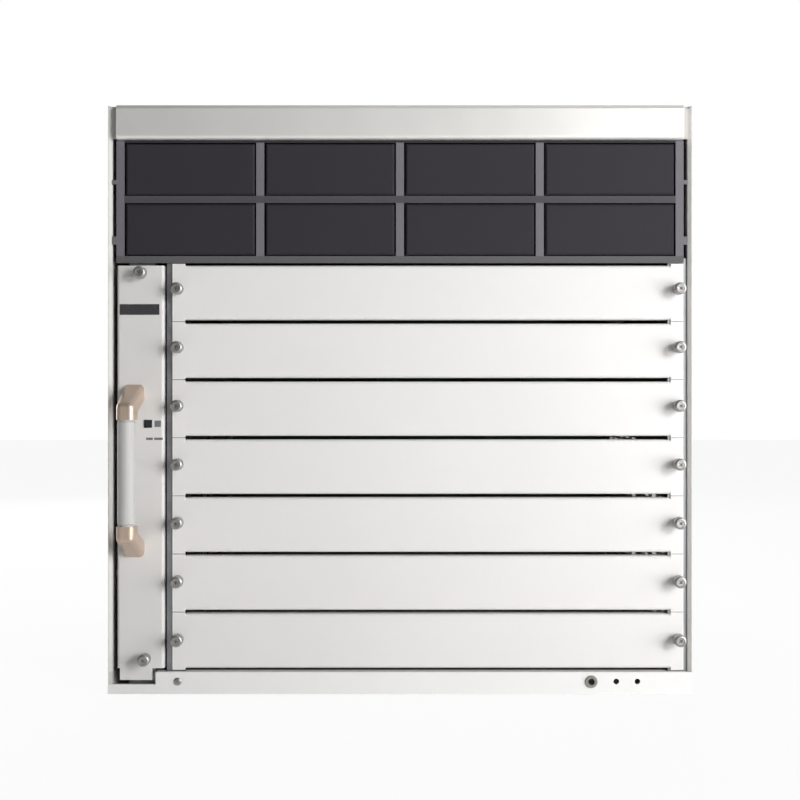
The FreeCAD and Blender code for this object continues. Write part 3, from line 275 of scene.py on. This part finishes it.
# the first name that a node's name starts with gives its finish
NODE_FINISH = (
    ("slot_cover_screws", screw_metal), ("slot_cover", cover_paint), ("fan_tray_face", plate_shaded_paint),
    ("bottom_fascia", fascia_paint), ("top_bezel", bezel_paint),
    ("left_side_panel", shell_paint), ("right_side_panel", shell_paint), ("top_cover", shell_paint),
    ("rear_panel", shell_paint), ("base_pan", shell_paint),
    ("power_cage_shelf", shelf_shaded_paint), ("power_cage_roof", roof_shadow_paint),
    ("power_cage_floor", sill_shaded_paint), ("power_cage", cage_paint),
    ("power_blank", charcoal_paint), ("power_board", board_laminate),
    ("left_cage_wall", zinc), ("right_cage_wall", zinc), ("mounting_rails", rail_shaded_zinc),
    ("fan_tray_rails", zinc), ("fan_tray_frame", zinc),
    ("backplane", board_laminate), ("board_connectors", connector_plastic),
    ("fan_socket", connector_plastic), ("fan_plug", connector_plastic),
    ("card_guides", guide_plastic), ("fan_housings", fan_plastic), ("fan_rotor", fan_plastic),
    ("handle_feet", leg_finish), ("handle_grip", grip_metal), ("fan_tray_screws", screw_metal),
    ("chassis_screws", screw_metal), ("wrist_strap_jack", jack_metal),
    ("dark_strip", strip_film), ("status_lens", lens_plastic),
)
for node_name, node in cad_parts.items():
    finish = next(material for prefix, material in NODE_FINISH if node_name.startswith(prefix))
    for material_slot in node.material_slots:
        material_slot.material = finish


# ---- mesh helpers ----
MERGE_DISTANCE = 1e-7
RECESS_TAPER = 0.55       # width of a driver recess at its foot, as a share of its mouth


def mesh_of(bm, name="template"):
    """Merges, faces outwards and hands over a bmesh as a mesh."""
    bmesh.ops.remove_doubles(bm, verts=bm.verts, dist=MERGE_DISTANCE)
    bmesh.ops.recalc_face_normals(bm, faces=bm.faces)
    mesh = bpy.data.meshes.new(name)
    bm.to_mesh(mesh)
    bm.free()
    return mesh


def stamp(bm, mesh, matrix):
    """Adds a moved copy of a mesh."""
    first = len(bm.verts)
    bm.from_mesh(mesh)
    bm.verts.ensure_lookup_table()
    bmesh.ops.transform(bm, matrix=matrix, verts=bm.verts[first:])


def piece(name, bm, body, material, nodes=(), crease=32.0):
    """Makes a bmesh a shown piece on a body, in place of the nodes named."""
    mesh = mesh_of(bm, name)
    mesh.shade_smooth()
    mesh.set_sharp_from_angle(angle=math.radians(crease))
    mesh.materials.append(material)
    made = bpy.data.objects.new(name, mesh)
    bpy.context.scene.collection.objects.link(made)
    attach(made, body)
    if nodes:
        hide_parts(*nodes)


def turned(profile, steps):
    """A solid of revolution about Y from (radius, along) points, in millimetres."""
    bm = bmesh.new()
    points = [bm.verts.new((radius * MM, along * MM, 0)) for radius, along in profile]
    edges = [bm.edges.new(pair) for pair in zip(points, points[1:])]
    bmesh.ops.spin(bm, geom=points + edges, cent=(0, 0, 0), axis=(0, 1, 0),
                   angle=2 * math.pi, steps=steps, use_merge=True)
    bmesh.ops.remove_doubles(bm, verts=bm.verts, dist=MERGE_DISTANCE)
    return bm


def box_into(bm, low, high):
    """Adds a box between two corners in metres."""
    size = Vector(high) - Vector(low)
    middle = (Vector(high) + Vector(low)) / 2
    matrix = Matrix.Translation(middle) @ Matrix.Diagonal((size.x, size.y, size.z, 1.0))
    return bmesh.ops.create_cube(bm, size=1.0, matrix=matrix)["verts"]


def carved(solid, cutter):
    """One mesh less another."""
    pair = [bpy.data.objects.new(mesh.name, mesh) for mesh in (solid, cutter)]
    for item in pair:
        bpy.context.scene.collection.objects.link(item)
    cut = pair[0].modifiers.new("cut", "BOOLEAN")
    cut.object = pair[1]
    cut.solver = "EXACT"
    cut.use_self = True
    graph = bpy.context.evaluated_depsgraph_get()
    result = bpy.data.meshes.new_from_object(pair[0].evaluated_get(graph))
    for item in pair:
        bpy.data.objects.remove(item)
    return result


def cross_cutter(front, depth, length, width):
    """Two crossed wedges, in millimetres, that cut a driver recess into a face at Y = front."""
    bm = bmesh.new()
    for across, up in CROSS_WAYS:
        half_x = (length if across else width) / 2
        half_z = (length if up else width) / 2
        verts = box_into(bm, (-half_x * MM, (front - 1) * MM, -half_z * MM),
                         (half_x * MM, (front + depth) * MM, half_z * MM))
        for vert in verts:
            if vert.co.y > front * MM:
                vert.co.x *= RECESS_TAPER
                vert.co.z *= RECESS_TAPER
    return mesh_of(bm, "cutter")


# ---- captive screws ----
KNOB_RADIUS = 4.5
KNURL_STEPS = 48
KNURL_DEPTH = 0.935       # a groove's radius, as a share of a ridge's
KNURL_BAND = 0.01         # how near the rim a vertex counts as on it
SHANK_RADIUS = 1.6
THREAD_ROOT = 1.32
THREAD_FIRST_CREST = 7.4
THREAD_START = 1.0
THREAD_PITCH = 0.7
THREAD_TURNS = 9
STOP_ANGLE = 17           # degrees, of the first screw's recess
STOP_ANGLE_STEP = 31      # and from each screw to the next


def captive_screw_mesh():
    """Knurled knob with a driver recess, grooved collar and threaded shank; the seat is at y 0."""
    profile = [(0, 8.0), (1.1, 8.0), (1.35, 7.6)]
    for turn in range(THREAD_TURNS):
        crest = THREAD_FIRST_CREST - turn * THREAD_PITCH
        profile += [(SHANK_RADIUS, crest), (THREAD_ROOT, crest - THREAD_PITCH / 2)]
    profile += [(SHANK_RADIUS, THREAD_START), (SHANK_RADIUS, 0),
                (3.3, 0), (3.3, -1.4), (2.9, -1.7), (2.9, -2.3), (3.3, -2.6), (3.3, -4.3),
                (3.1, -4.5), (4.0, -4.5), (4.42, -4.9), (KNOB_RADIUS, -5.3), (KNOB_RADIUS, -12.2),
                (4.42, -12.8), (3.9, -13.3), (3.3, -13.5), (2.9, -13.5), (2.6, -13.1), (0, -13.0)]
    bm = turned(profile, KNURL_STEPS)
    for vert in bm.verts:
        radius = math.hypot(vert.co.x, vert.co.z)
        step = round(math.atan2(vert.co.z, vert.co.x) / (2 * math.pi / KNURL_STEPS))
        if radius > (KNOB_RADIUS - KNURL_BAND) * MM and step % 2:
            vert.co.x *= KNURL_DEPTH
            vert.co.z *= KNURL_DEPTH
    return carved(mesh_of(bm), cross_cutter(front=-13.0, depth=1.9, length=3.6, width=0.9))


screw = captive_screw_mesh()


def captive_screws(name, node, body, seat_y, centres):
    """Screws seated at y, each stopped at its own angle, in place of a node."""
    bm = bmesh.new()
    for number, (x, z) in enumerate(centres):
        turn = Matrix.Rotation(math.radians(STOP_ANGLE + STOP_ANGLE_STEP * number), 4, "Y")
        stamp(bm, screw, Matrix.Translation((x, seat_y, z)) @ turn)
    piece(name, bm, body, screw_metal, [node])


for number in SLOTS:
    node_name = f"slot_cover_screws_{number}"
    low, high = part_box(node_name)
    middle_z = (low.z + high.z) / 2
    inset = (high.z - low.z) / 2
    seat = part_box(f"slot_cover_{number}")[0].y
    captive_screws(f"cover_thumbscrews_{number}", node_name, f"slot_cover_{number}", seat,
                   [(low.x + inset, middle_z), (high.x - inset, middle_z)])
low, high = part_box("fan_tray_screws")
# the node's knobs are twelve-sided, so its box ends short of their radius
knob_half = KNOB_RADIUS * math.cos(math.pi / 12) * MM
captive_screws("tray_thumbscrews", "fan_tray_screws", "fan_tray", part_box("fan_tray_face")[0].y,
               [(low.x + knob_half, high.z - knob_half), (high.x - knob_half, low.z + knob_half)])


# ---- handle ----
GRIP_RADIUS = 6.5
GRIP_NECK = 5.6
GRIP_NECK_LENGTH = 1.0
GRIP_SHOULDER = 1.9       # from the bar's end to its full radius
low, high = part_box("handle_grip")
grip_middle = (low + high) / 2
half_grip = (high.z - low.z) / 2 / MM
bm = turned([(0, -half_grip), (GRIP_NECK, -half_grip), (GRIP_NECK, -half_grip + GRIP_NECK_LENGTH),
             (GRIP_RADIUS, -half_grip + GRIP_SHOULDER), (GRIP_RADIUS, half_grip - GRIP_SHOULDER),
             (GRIP_NECK, half_grip - GRIP_NECK_LENGTH), (GRIP_NECK, half_grip), (0, half_grip)],
            steps=48)
grip_middle.y = low.y + GRIP_RADIUS * MM
upright = Matrix.Rotation(math.pi / 2, 4, "X")
bmesh.ops.transform(bm, matrix=Matrix.Translation(grip_middle) @ upright, verts=bm.verts)
piece("handle_bar", bm, "fan_tray", grip_metal, ["handle_grip"])


# ---- fans ----
FAN_BORE = 57.0
FLANGE = 4.0
CORNER_HOLE = 2.2         # radius
CORNER_HOLE_INSET = 7.2
MOTOR_PLATE = 3.0
HUB_RADIUS = 20.0
STRUT_HALF_WIDTH = 2.2
STRUT_ROUND = 0.7
STRUT_ROOT_SINK = 1.5     # how far a strut starts inside the rim of the motor plate
STRUT_TIP_SINK = 1.0      # and ends inside the wall of the barrel
BORE_STEPS = 72
FLANGE_HOLE_STEP = 0.6    # how much wider the flanges' hole is, inside the barrel's wall
CORNER_ROUND = 5.0
CUT_PAST = 4.0            # how much longer a cutter is than what it cuts
BARREL_MOUTH = 1.2
BARREL_WALL = 2.3
BLADES = 7
BLADE_TIP_GAP = 1.6
BLADE_ROOT_SINK = 1.5     # how far a blade starts inside the hub
BLADE_THICKNESS = 1.3
ROOT_CHORD = 22
CHORD_GAIN = 9            # from root to tip
ROOT_PITCH = 44           # degrees
PITCH_LOSS = 14           # from root to tip
BLADE_CAMBER = 2.6
BLADE_SWEEP = 0.28        # radians at the tip
FAN_CREASE = 35.0         # degrees


def fan_housing_mesh(thickness, half):
    """Two square flanges on a round barrel, four struts and a motor plate; the axis is X."""
    bm = bmesh.new()
    for start, end in ((0, FLANGE), (thickness - FLANGE, thickness)):
        box_into(bm, (start * MM, -half * MM, -half * MM), (end * MM, half * MM, half * MM))
    edges = [edge for edge in bm.edges if abs(edge.verts[0].co.x - edge.verts[1].co.x) > 1 * MM]
    bmesh.ops.bevel(bm, geom=edges, offset=CORNER_ROUND * MM, segments=5, profile=0.5,
                    affect="EDGES", material=-1)
    flanges = mesh_of(bm)
    cutter = bmesh.new()
    turn = Matrix.Rotation(math.pi / 2, 4, "Y")
    corner = half - CORNER_HOLE_INSET
    holes = [(0, 0, FAN_BORE + FLANGE_HOLE_STEP, BORE_STEPS)]
    holes += [(y, z, CORNER_HOLE, 16) for y in (corner, -corner) for z in (corner, -corner)]
    for y, z, radius, steps in holes:
        middle = Matrix.Translation((thickness / 2 * MM, y * MM, z * MM))
        bmesh.ops.create_cone(cutter, cap_ends=True, segments=steps, radius1=radius * MM,
                              radius2=radius * MM, depth=(thickness + CUT_PAST) * MM,
                              matrix=middle @ turn)
    plates = carved(flanges, mesh_of(cutter, "cutter"))
    bm = bmesh.new()
    bm.from_mesh(plates)
    mouth, wall = FAN_BORE + BARREL_MOUTH, FAN_BORE + BARREL_WALL
    barrel = turned([(mouth, 0), (FAN_BORE, BARREL_MOUTH), (FAN_BORE, thickness - BARREL_MOUTH),
                     (mouth, thickness), (wall, thickness), (wall, 0), (mouth, 0)], BORE_STEPS)
    across = Matrix.Rotation(-math.pi / 2, 4, "Z")
    stamp(bm, mesh_of(barrel), across)
    plate = turned([(0, 0), (HUB_RADIUS - 1, 0), (HUB_RADIUS, 1), (HUB_RADIUS, MOTOR_PLATE),
                    (0, MOTOR_PLATE)], steps=40)
    stamp(bm, mesh_of(plate), across)
    strut = bmesh.new()
    box_into(strut, (0, (HUB_RADIUS - STRUT_ROOT_SINK) * MM, -STRUT_HALF_WIDTH * MM),
             (MOTOR_PLATE * MM, (FAN_BORE + STRUT_TIP_SINK) * MM, STRUT_HALF_WIDTH * MM))
    bmesh.ops.bevel(strut, geom=strut.edges[:], offset=STRUT_ROUND * MM, segments=2, profile=0.5,
                    affect="EDGES", material=-1)
    strut_mesh = mesh_of(strut)
    for quarter in range(4):
        stamp(bm, strut_mesh, Matrix.Rotation(math.radians(45 + 90 * quarter), 4, "X"))
    return mesh_of(bm)


def rotor_mesh(length):
    """Hub cup with a round shoulder, and twisted, cambered blades; the axis is X."""
    bm = bmesh.new()
    hub = turned([(0, length), (HUB_RADIUS - 3.5, length), (HUB_RADIUS - 1.2, length - 0.9),
                  (HUB_RADIUS, length - 3.2), (HUB_RADIUS, 0), (HUB_RADIUS - 1.6, 0),
                  (HUB_RADIUS - 1.6, 4), (0, 4)], steps=56)
    stamp(bm, mesh_of(hub), Matrix.Rotation(-math.pi / 2, 4, "Z"))
    blade = bmesh.new()
    bmesh.ops.create_grid(blade, x_segments=12, y_segments=9, size=1.0)
    reach = FAN_BORE - BLADE_TIP_GAP - HUB_RADIUS + BLADE_ROOT_SINK
    for vert in blade.verts:
        chord_share, radial_share = vert.co.x, (vert.co.y + 1) / 2
        radius = HUB_RADIUS - BLADE_ROOT_SINK + radial_share * reach
        chord = ROOT_CHORD + CHORD_GAIN * radial_share
        pitch = math.radians(ROOT_PITCH - PITCH_LOSS * radial_share)
        camber = BLADE_CAMBER * (1 - chord_share ** 2)
        forward = chord_share * chord / 2
        around = forward * math.cos(pitch) + camber * math.sin(pitch)
        angle = around / radius + BLADE_SWEEP * radial_share ** 2
        along = length / 2 + forward * math.sin(pitch) - camber * math.cos(pitch)
        vert.co = Vector((along, radius * math.sin(angle), radius * math.cos(angle))) * MM
    bmesh.ops.solidify(blade, geom=blade.faces[:], thickness=BLADE_THICKNESS * MM)
    blade_mesh = mesh_of(blade)
    for number in range(BLADES):
        stamp(bm, blade_mesh, Matrix.Rotation(2 * math.pi * number / BLADES, 4, "X"))
    return mesh_of(bm)


housing_low, housing_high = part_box("fan_housings")
fan_thickness = (housing_high.x - housing_low.x) / MM
axes = []
for number in FANS:
    low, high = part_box(f"fan_rotor_{number}")
    axes.append(((low.y + high.y) / 2, (low.z + high.z) / 2))
hub_low, hub_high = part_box("fan_rotor_1")
top_axis = max(z for y, z in axes)
fan_half = (housing_high.z - top_axis) / MM
housing = fan_housing_mesh(fan_thickness, fan_half)
bm = bmesh.new()
for y, z in axes:
    stamp(bm, housing, Matrix.Translation((housing_low.x, y, z)))
piece("fan_frames", bm, "fan_tray", fan_plastic, ["fan_housings"], crease=FAN_CREASE)
wheel = rotor_mesh((hub_high.x - hub_low.x) / MM)
for number, (y, z) in zip(FANS, axes):
    bm = bmesh.new()
    stamp(bm, wheel, Matrix.Translation((hub_low.x, y, z)))
    piece(f"fan_wheel_{number}", bm, f"fan_rotor_{number}", fan_plastic,
          [f"fan_rotor_{number}"], crease=FAN_CREASE)


# ---- fixed screws and the earthing jack ----
PAN_HEAD_RADIUS = 3.0
PAN_HEAD_HEIGHT = 1.2
REAR_SCREW_INSET = 12 * MM
FASCIA_SCREW_X = -167 * MM


def pan_head_mesh():
    """Domed head with a driver recess; it seats at y 0."""
    bm = turned([(0, 0), (PAN_HEAD_RADIUS, 0), (PAN_HEAD_RADIUS, -0.35), (2.75, -0.75),
                 (2.2, -1.05), (1.2, -PAN_HEAD_HEIGHT), (0, -PAN_HEAD_HEIGHT)], steps=32)
    recess = cross_cutter(front=-PAN_HEAD_HEIGHT, depth=0.9, length=3.0, width=0.75)
    return carved(mesh_of(bm), recess)


pan_head = pan_head_mesh()
rear_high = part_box("rear_panel")[1]
half_turn = Matrix.Rotation(math.pi, 4, "Z")
bm = bmesh.new()
# the node's heads are six-sided, so its box ends short of their radius
rear_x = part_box("chassis_screws")[1].x - PAN_HEAD_RADIUS * math.cos(math.pi / 6) * MM
top_z = rear_high.z + SHEET - REAR_SCREW_INSET
for z in (REAR_SCREW_INSET, (REAR_SCREW_INSET + top_z) / 2, top_z):
    for x in (-rear_x, rear_x):
        stamp(bm, pan_head, Matrix.Translation((x, rear_high.y, z)) @ half_turn)
jack_low, jack_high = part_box("wrist_strap_jack")
earth_z = (jack_low.z + jack_high.z) / 2
fascia_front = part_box("bottom_fascia")[0].y
stamp(bm, pan_head, Matrix.Translation((FASCIA_SCREW_X, fascia_front, earth_z)))
piece("panel_screws", bm, "chassis", screw_metal, ["chassis_screws"])

jack_x = (jack_low.x + jack_high.x) / 2
bm = turned([(0, 10.0), (2.05, 10.0), (2.05, -2.4), (2.6, -3.0), (4.2, -3.0), (4.6, -2.6),
             (4.6, -1.5), (3.2, -1.5), (3.2, 13.4), (2.6, 14.0), (0, 14.0)], steps=40)
jack_place = Matrix.Translation((jack_x, fascia_front + SHEET, earth_z))
bmesh.ops.transform(bm, matrix=jack_place, verts=bm.verts)
piece("strap_jack", bm, "chassis", jack_metal, ["wrist_strap_jack"])


# ---- perforated screens behind the side vents ----
SCREEN_PITCH = 6.0 * MM
SCREEN_WEB = 0.9 * MM     # half of the strip between two holes
SCREEN_SHEET = 1.0 * MM
SCREEN_FRONT = 76.0 * MM  # behind the panel's front edge
SCREEN_REAR = 34.0 * MM   # ahead of its rear edge
SCREEN_FOOT = 34.0 * MM
SCREEN_TOP = 316.0 * MM


def vent_screen_mesh(long, tall):
    """Sheet of square holes in a plane across X, with its middle at the origin."""
    bm = bmesh.new()
    bmesh.ops.create_grid(bm, x_segments=round(long / SCREEN_PITCH),
                          y_segments=round(tall / SCREEN_PITCH), size=0.5,
                          matrix=Matrix.Diagonal((long, tall, 1.0, 1.0)))
    cells = bm.faces[:]
    bmesh.ops.inset_individual(bm, faces=cells, thickness=SCREEN_WEB, use_even_offset=True)
    bmesh.ops.delete(bm, geom=cells, context="FACES")
    bmesh.ops.solidify(bm, geom=bm.faces[:], thickness=SCREEN_SHEET)
    upright = Matrix.Rotation(math.pi / 2, 4, "Z") @ Matrix.Rotation(math.pi / 2, 4, "X")
    bmesh.ops.transform(bm, matrix=upright, verts=bm.verts)
    return mesh_of(bm)


low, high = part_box("right_side_panel")
screen_y = (low.y + SCREEN_FRONT, high.y - SCREEN_REAR)
screen = vent_screen_mesh(screen_y[1] - screen_y[0], SCREEN_TOP - SCREEN_FOOT)
screen_x = high.x - SHEET - SCREEN_SHEET
screen_z = (SCREEN_TOP + SCREEN_FOOT) / 2
bm = bmesh.new()
for side in (-1, 1):
    stamp(bm, screen, Matrix.Translation((side * screen_x, sum(screen_y) / 2, screen_z)))
piece("vent_screens", bm, "chassis", zinc)


# ---- contacts inside the board connectors ----
CONTACT_COLUMNS = 18
CONTACT_PITCH = 3.0
CONTACT_ROW_HALF = 2.6
CONTACT_HALF_WIDTH = 0.45
CONTACT_HALF_HEIGHT = 0.35
CONTACT_LENGTH = 8
CONTACT_FOOT = 2 * MM          # in front of the board
CARD_SOCKET_OFFSET = 75 * MM   # each side of the cage's middle
CARD_SOCKET_DROP = 12 * MM     # below the middle of its slot


def contact_block_mesh():
    """Two rows of contacts that point to the front, with their feet at y 0."""
    bm = bmesh.new()
    for row in (-1, 1):
        z = row * CONTACT_ROW_HALF
        for column in range(CONTACT_COLUMNS):
            x = (column - (CONTACT_COLUMNS - 1) / 2) * CONTACT_PITCH
            box_into(bm, ((x - CONTACT_HALF_WIDTH) * MM, -CONTACT_LENGTH * MM,
                          (z - CONTACT_HALF_HEIGHT) * MM),
                     ((x + CONTACT_HALF_WIDTH) * MM, 0, (z + CONTACT_HALF_HEIGHT) * MM))
    return mesh_of(bm)


contacts = contact_block_mesh()
bm = bmesh.new()
wall_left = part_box("left_cage_wall")[0].x
wall_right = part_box("right_cage_wall")[1].x
cage_middle = (wall_left + wall_right) / 2
board_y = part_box("backplane")[0].y - CONTACT_FOOT
for number in SLOTS:
    low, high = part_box(f"slot_cover_{number}")
    socket_z = (low.z + high.z) / 2 - CARD_SOCKET_DROP
    for side in (-1, 1):
        socket_x = cage_middle + side * CARD_SOCKET_OFFSET
        stamp(bm, contacts, Matrix.Translation((socket_x, board_y, socket_z)))
power_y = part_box("power_board")[0].y - CONTACT_FOOT
for number in BAYS:
    low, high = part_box(f"power_blank_{number}")
    stamp(bm, contacts, Matrix.Translation(((low.x + high.x) / 2, power_y, (low.z + high.z) / 2)))
piece("connector_contacts", bm, "chassis", contact_gold)


# ---- printed marks beside the status light ----
# left, foot, right and top of each mark, in millimetres from the light's middle
MARKS = ((4.8, -2.4, 9.6, 2.4), (-1.5, -12.2, 3.5, -10.4), (4.5, -12.2, 11.0, -10.4))
MARK_PROUD = 0.05
MARK_SINK = 0.2
lens_low, lens_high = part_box("status_lens")
face_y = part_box("fan_tray_face")[0].y
lens_x, lens_z = (lens_low.x + lens_high.x) / 2, (lens_low.z + lens_high.z) / 2
bm = bmesh.new()
for x0, z0, x1, z1 in MARKS:
    box_into(bm, (lens_x + x0 * MM, face_y - MARK_PROUD * MM, lens_z + z0 * MM),
             (lens_x + x1 * MM, face_y + MARK_SINK * MM, lens_z + z1 * MM))
piece("status_marks", bm, "fan_tray", print_ink)


# ---- floor, light and camera ----
WHITE = (1.0, 1.0, 1.0, 1)


def any_of(tree, outputs):
    """The largest of several outputs."""
    total = outputs[0]
    for output in outputs[1:]:
        larger = tree.nodes.new("ShaderNodeMath")
        larger.operation = "MAXIMUM"
        tree.links.new(total, larger.inputs[0])
        tree.links.new(output, larger.inputs[1])
        total = larger.outputs[0]
    return total


def share_of(tree, value, share):
    """An output times a share."""
    scaled = tree.nodes.new("ShaderNodeMath")
    scaled.operation = "MULTIPLY"
    scaled.inputs[1].default_value = share
    tree.links.new(value, scaled.inputs[0])
    return scaled.outputs[0]


def mix_shaders(tree, amount, first, second):
    """The first shader where the amount is 0, the second where it is 1."""
    mixing = tree.nodes.new("ShaderNodeMixShader")
    tree.links.new(amount, mixing.inputs[0])
    tree.links.new(first, mixing.inputs[1])
    tree.links.new(second, mixing.inputs[2])
    return mixing.outputs[0]


FLOOR_SEEN = 0.93         # how much of the floor's look is plain white to the camera
FLOOR_MIRRORED = 0.4      # and in reflections
FLOOR_COLOUR = (0.86, 0.86, 0.86, 1)
FLOOR_ROUGHNESS = 0.9
FLOOR_HALF = 6.0
FLOOR_DROP = 0.5 * MM
floor_paint = bpy.data.materials.new("floor")
floor_paint.use_nodes = True
tree = floor_paint.node_tree
floor_shader = tree.nodes["Principled BSDF"]
floor_shader.inputs["Base Color"].default_value = FLOOR_COLOUR
floor_shader.inputs["Roughness"].default_value = FLOOR_ROUGHNESS
glow = tree.nodes.new("ShaderNodeEmission")
glow.inputs["Strength"].default_value = 1.0
path = tree.nodes.new("ShaderNodeLightPath").outputs
straight = any_of(tree, [path["Is Camera Ray"], path["Is Transmission Ray"]])
seen = share_of(tree, straight, FLOOR_SEEN)
mirrored = share_of(tree, path["Is Glossy Ray"], FLOOR_MIRRORED)
whitened = any_of(tree, [seen, mirrored])
tree.links.new(mix_shaders(tree, whitened, floor_shader.outputs[0], glow.outputs[0]),
               tree.nodes["Material Output"].inputs["Surface"])

bm = bmesh.new()
bmesh.ops.create_grid(bm, x_segments=1, y_segments=1, size=FLOOR_HALF)
bmesh.ops.translate(bm, vec=(0, 0, -FLOOR_DROP), verts=bm.verts)
floor_mesh = bpy.data.meshes.new("floor")
bm.to_mesh(floor_mesh)
bm.free()
floor_mesh.materials.append(floor_paint)
floor = bpy.data.objects.new("floor", floor_mesh)
bpy.context.scene.collection.objects.link(floor)

AMBIENT = 0.12
STUDIO_LEFT = 0.05        # strength that gloss mirrors on the left
STUDIO_RIGHT = 0.7        # and on the right
STUDIO_EDGE = 0.25        # half-width of the fade between them
STUDIO_BACK_START = 0.35  # where the white at the rear begins
STUDIO_BACK_FULL = 0.65
world = bpy.data.worlds.new("studio")
bpy.context.scene.world = world
world.use_nodes = True
tree = world.node_tree
ambient = tree.nodes["Background"]
backdrop = tree.nodes.new("ShaderNodeBackground")
studio = tree.nodes.new("ShaderNodeBackground")
for background in (ambient, backdrop, studio):
    background.inputs["Color"].default_value = WHITE
ambient.inputs["Strength"].default_value = AMBIENT
backdrop.inputs["Strength"].default_value = 1.0
way = tree.nodes.new("ShaderNodeSeparateXYZ")
tree.links.new(tree.nodes.new("ShaderNodeTexCoord").outputs["Generated"], way.inputs[0])
across = tree.nodes.new("ShaderNodeMapRange")
across.inputs["From Min"].default_value = -STUDIO_EDGE
across.inputs["From Max"].default_value = STUDIO_EDGE
across.inputs["To Min"].default_value = STUDIO_LEFT
across.inputs["To Max"].default_value = STUDIO_RIGHT
tree.links.new(way.outputs["X"], across.inputs["Value"])
behind = tree.nodes.new("ShaderNodeMapRange")
behind.inputs["From Min"].default_value = STUDIO_BACK_START
behind.inputs["From Max"].default_value = STUDIO_BACK_FULL
tree.links.new(way.outputs["Y"], behind.inputs["Value"])
tree.links.new(any_of(tree, [across.outputs["Result"], behind.outputs["Result"]]),
               studio.inputs["Strength"])
path = tree.nodes.new("ShaderNodeLightPath").outputs
lit = mix_shaders(tree, path["Is Glossy Ray"], ambient.outputs[0], studio.outputs[0])
shown = any_of(tree, [path["Is Camera Ray"], path["Is Transmission Ray"]])
tree.links.new(mix_shaders(tree, shown, lit, backdrop.outputs[0]),
               tree.nodes["World Output"].inputs["Surface"])


def soft_box(name, place, aim, size, watts):
    """A rectangular lamp at a place, turned to an aim."""
    lamp = bpy.data.lights.new(name, "AREA")
    lamp.shape = "RECTANGLE"
    lamp.size, lamp.size_y = size
    lamp.energy = watts
    made = bpy.data.objects.new(name, lamp)
    bpy.context.scene.collection.objects.link(made)
    made.location = place
    made.rotation_euler = (Vector(aim) - Vector(place)).to_track_quat("-Z", "Y").to_euler()


# place, aim and size in metres, then the power in watts
soft_box("key light", (0.92, -1.35, 0.60), (0.0, -0.19, 0.22), (0.45, 0.45), 10.2)
soft_box("side light", (1.10, -0.95, 0.30), (0.0, -0.19, 0.22), (1.3, 0.55), 8.0)
soft_box("low light", (0.75, -0.95, 0.06), (0.0, -0.19, 0.18), (1.2, 0.2), 2.8)
soft_box("rear light", (-0.45, 1.65, 0.75), (0.0, 0.22, 0.22), (1.0, 0.8), 11.5)
soft_box("left light", (-1.55, 0.75, 0.55), (-0.22, 0.05, 0.22), (1.0, 0.8), 11.0)
soft_box("top light", (0.10, 0.95, 1.60), (0.0, 0.02, 0.44), (0.9, 0.7), 12.0)

CAMERA_HEIGHT = 0.2209
CAMERA_DISTANCE = 0.97    # from the front hems
VIEW_WIDTH = 0.6019       # at the front hems
SENSOR_WIDTH = 36.0
camera_data = bpy.data.cameras.new("camera")
camera_data.sensor_width = SENSOR_WIDTH
camera_data.lens = SENSOR_WIDTH * CAMERA_DISTANCE / VIEW_WIDTH
camera = bpy.data.objects.new("camera", camera_data)
bpy.context.scene.collection.objects.link(camera)
hem_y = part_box("right_side_panel")[0].y
camera.location = (0, hem_y - CAMERA_DISTANCE, CAMERA_HEIGHT)
camera.rotation_euler = (math.pi / 2, 0, 0)
bpy.context.scene.camera = camera
bpy.context.scene.view_settings.view_transform = "Standard"

bpy.context.view_layer.update()
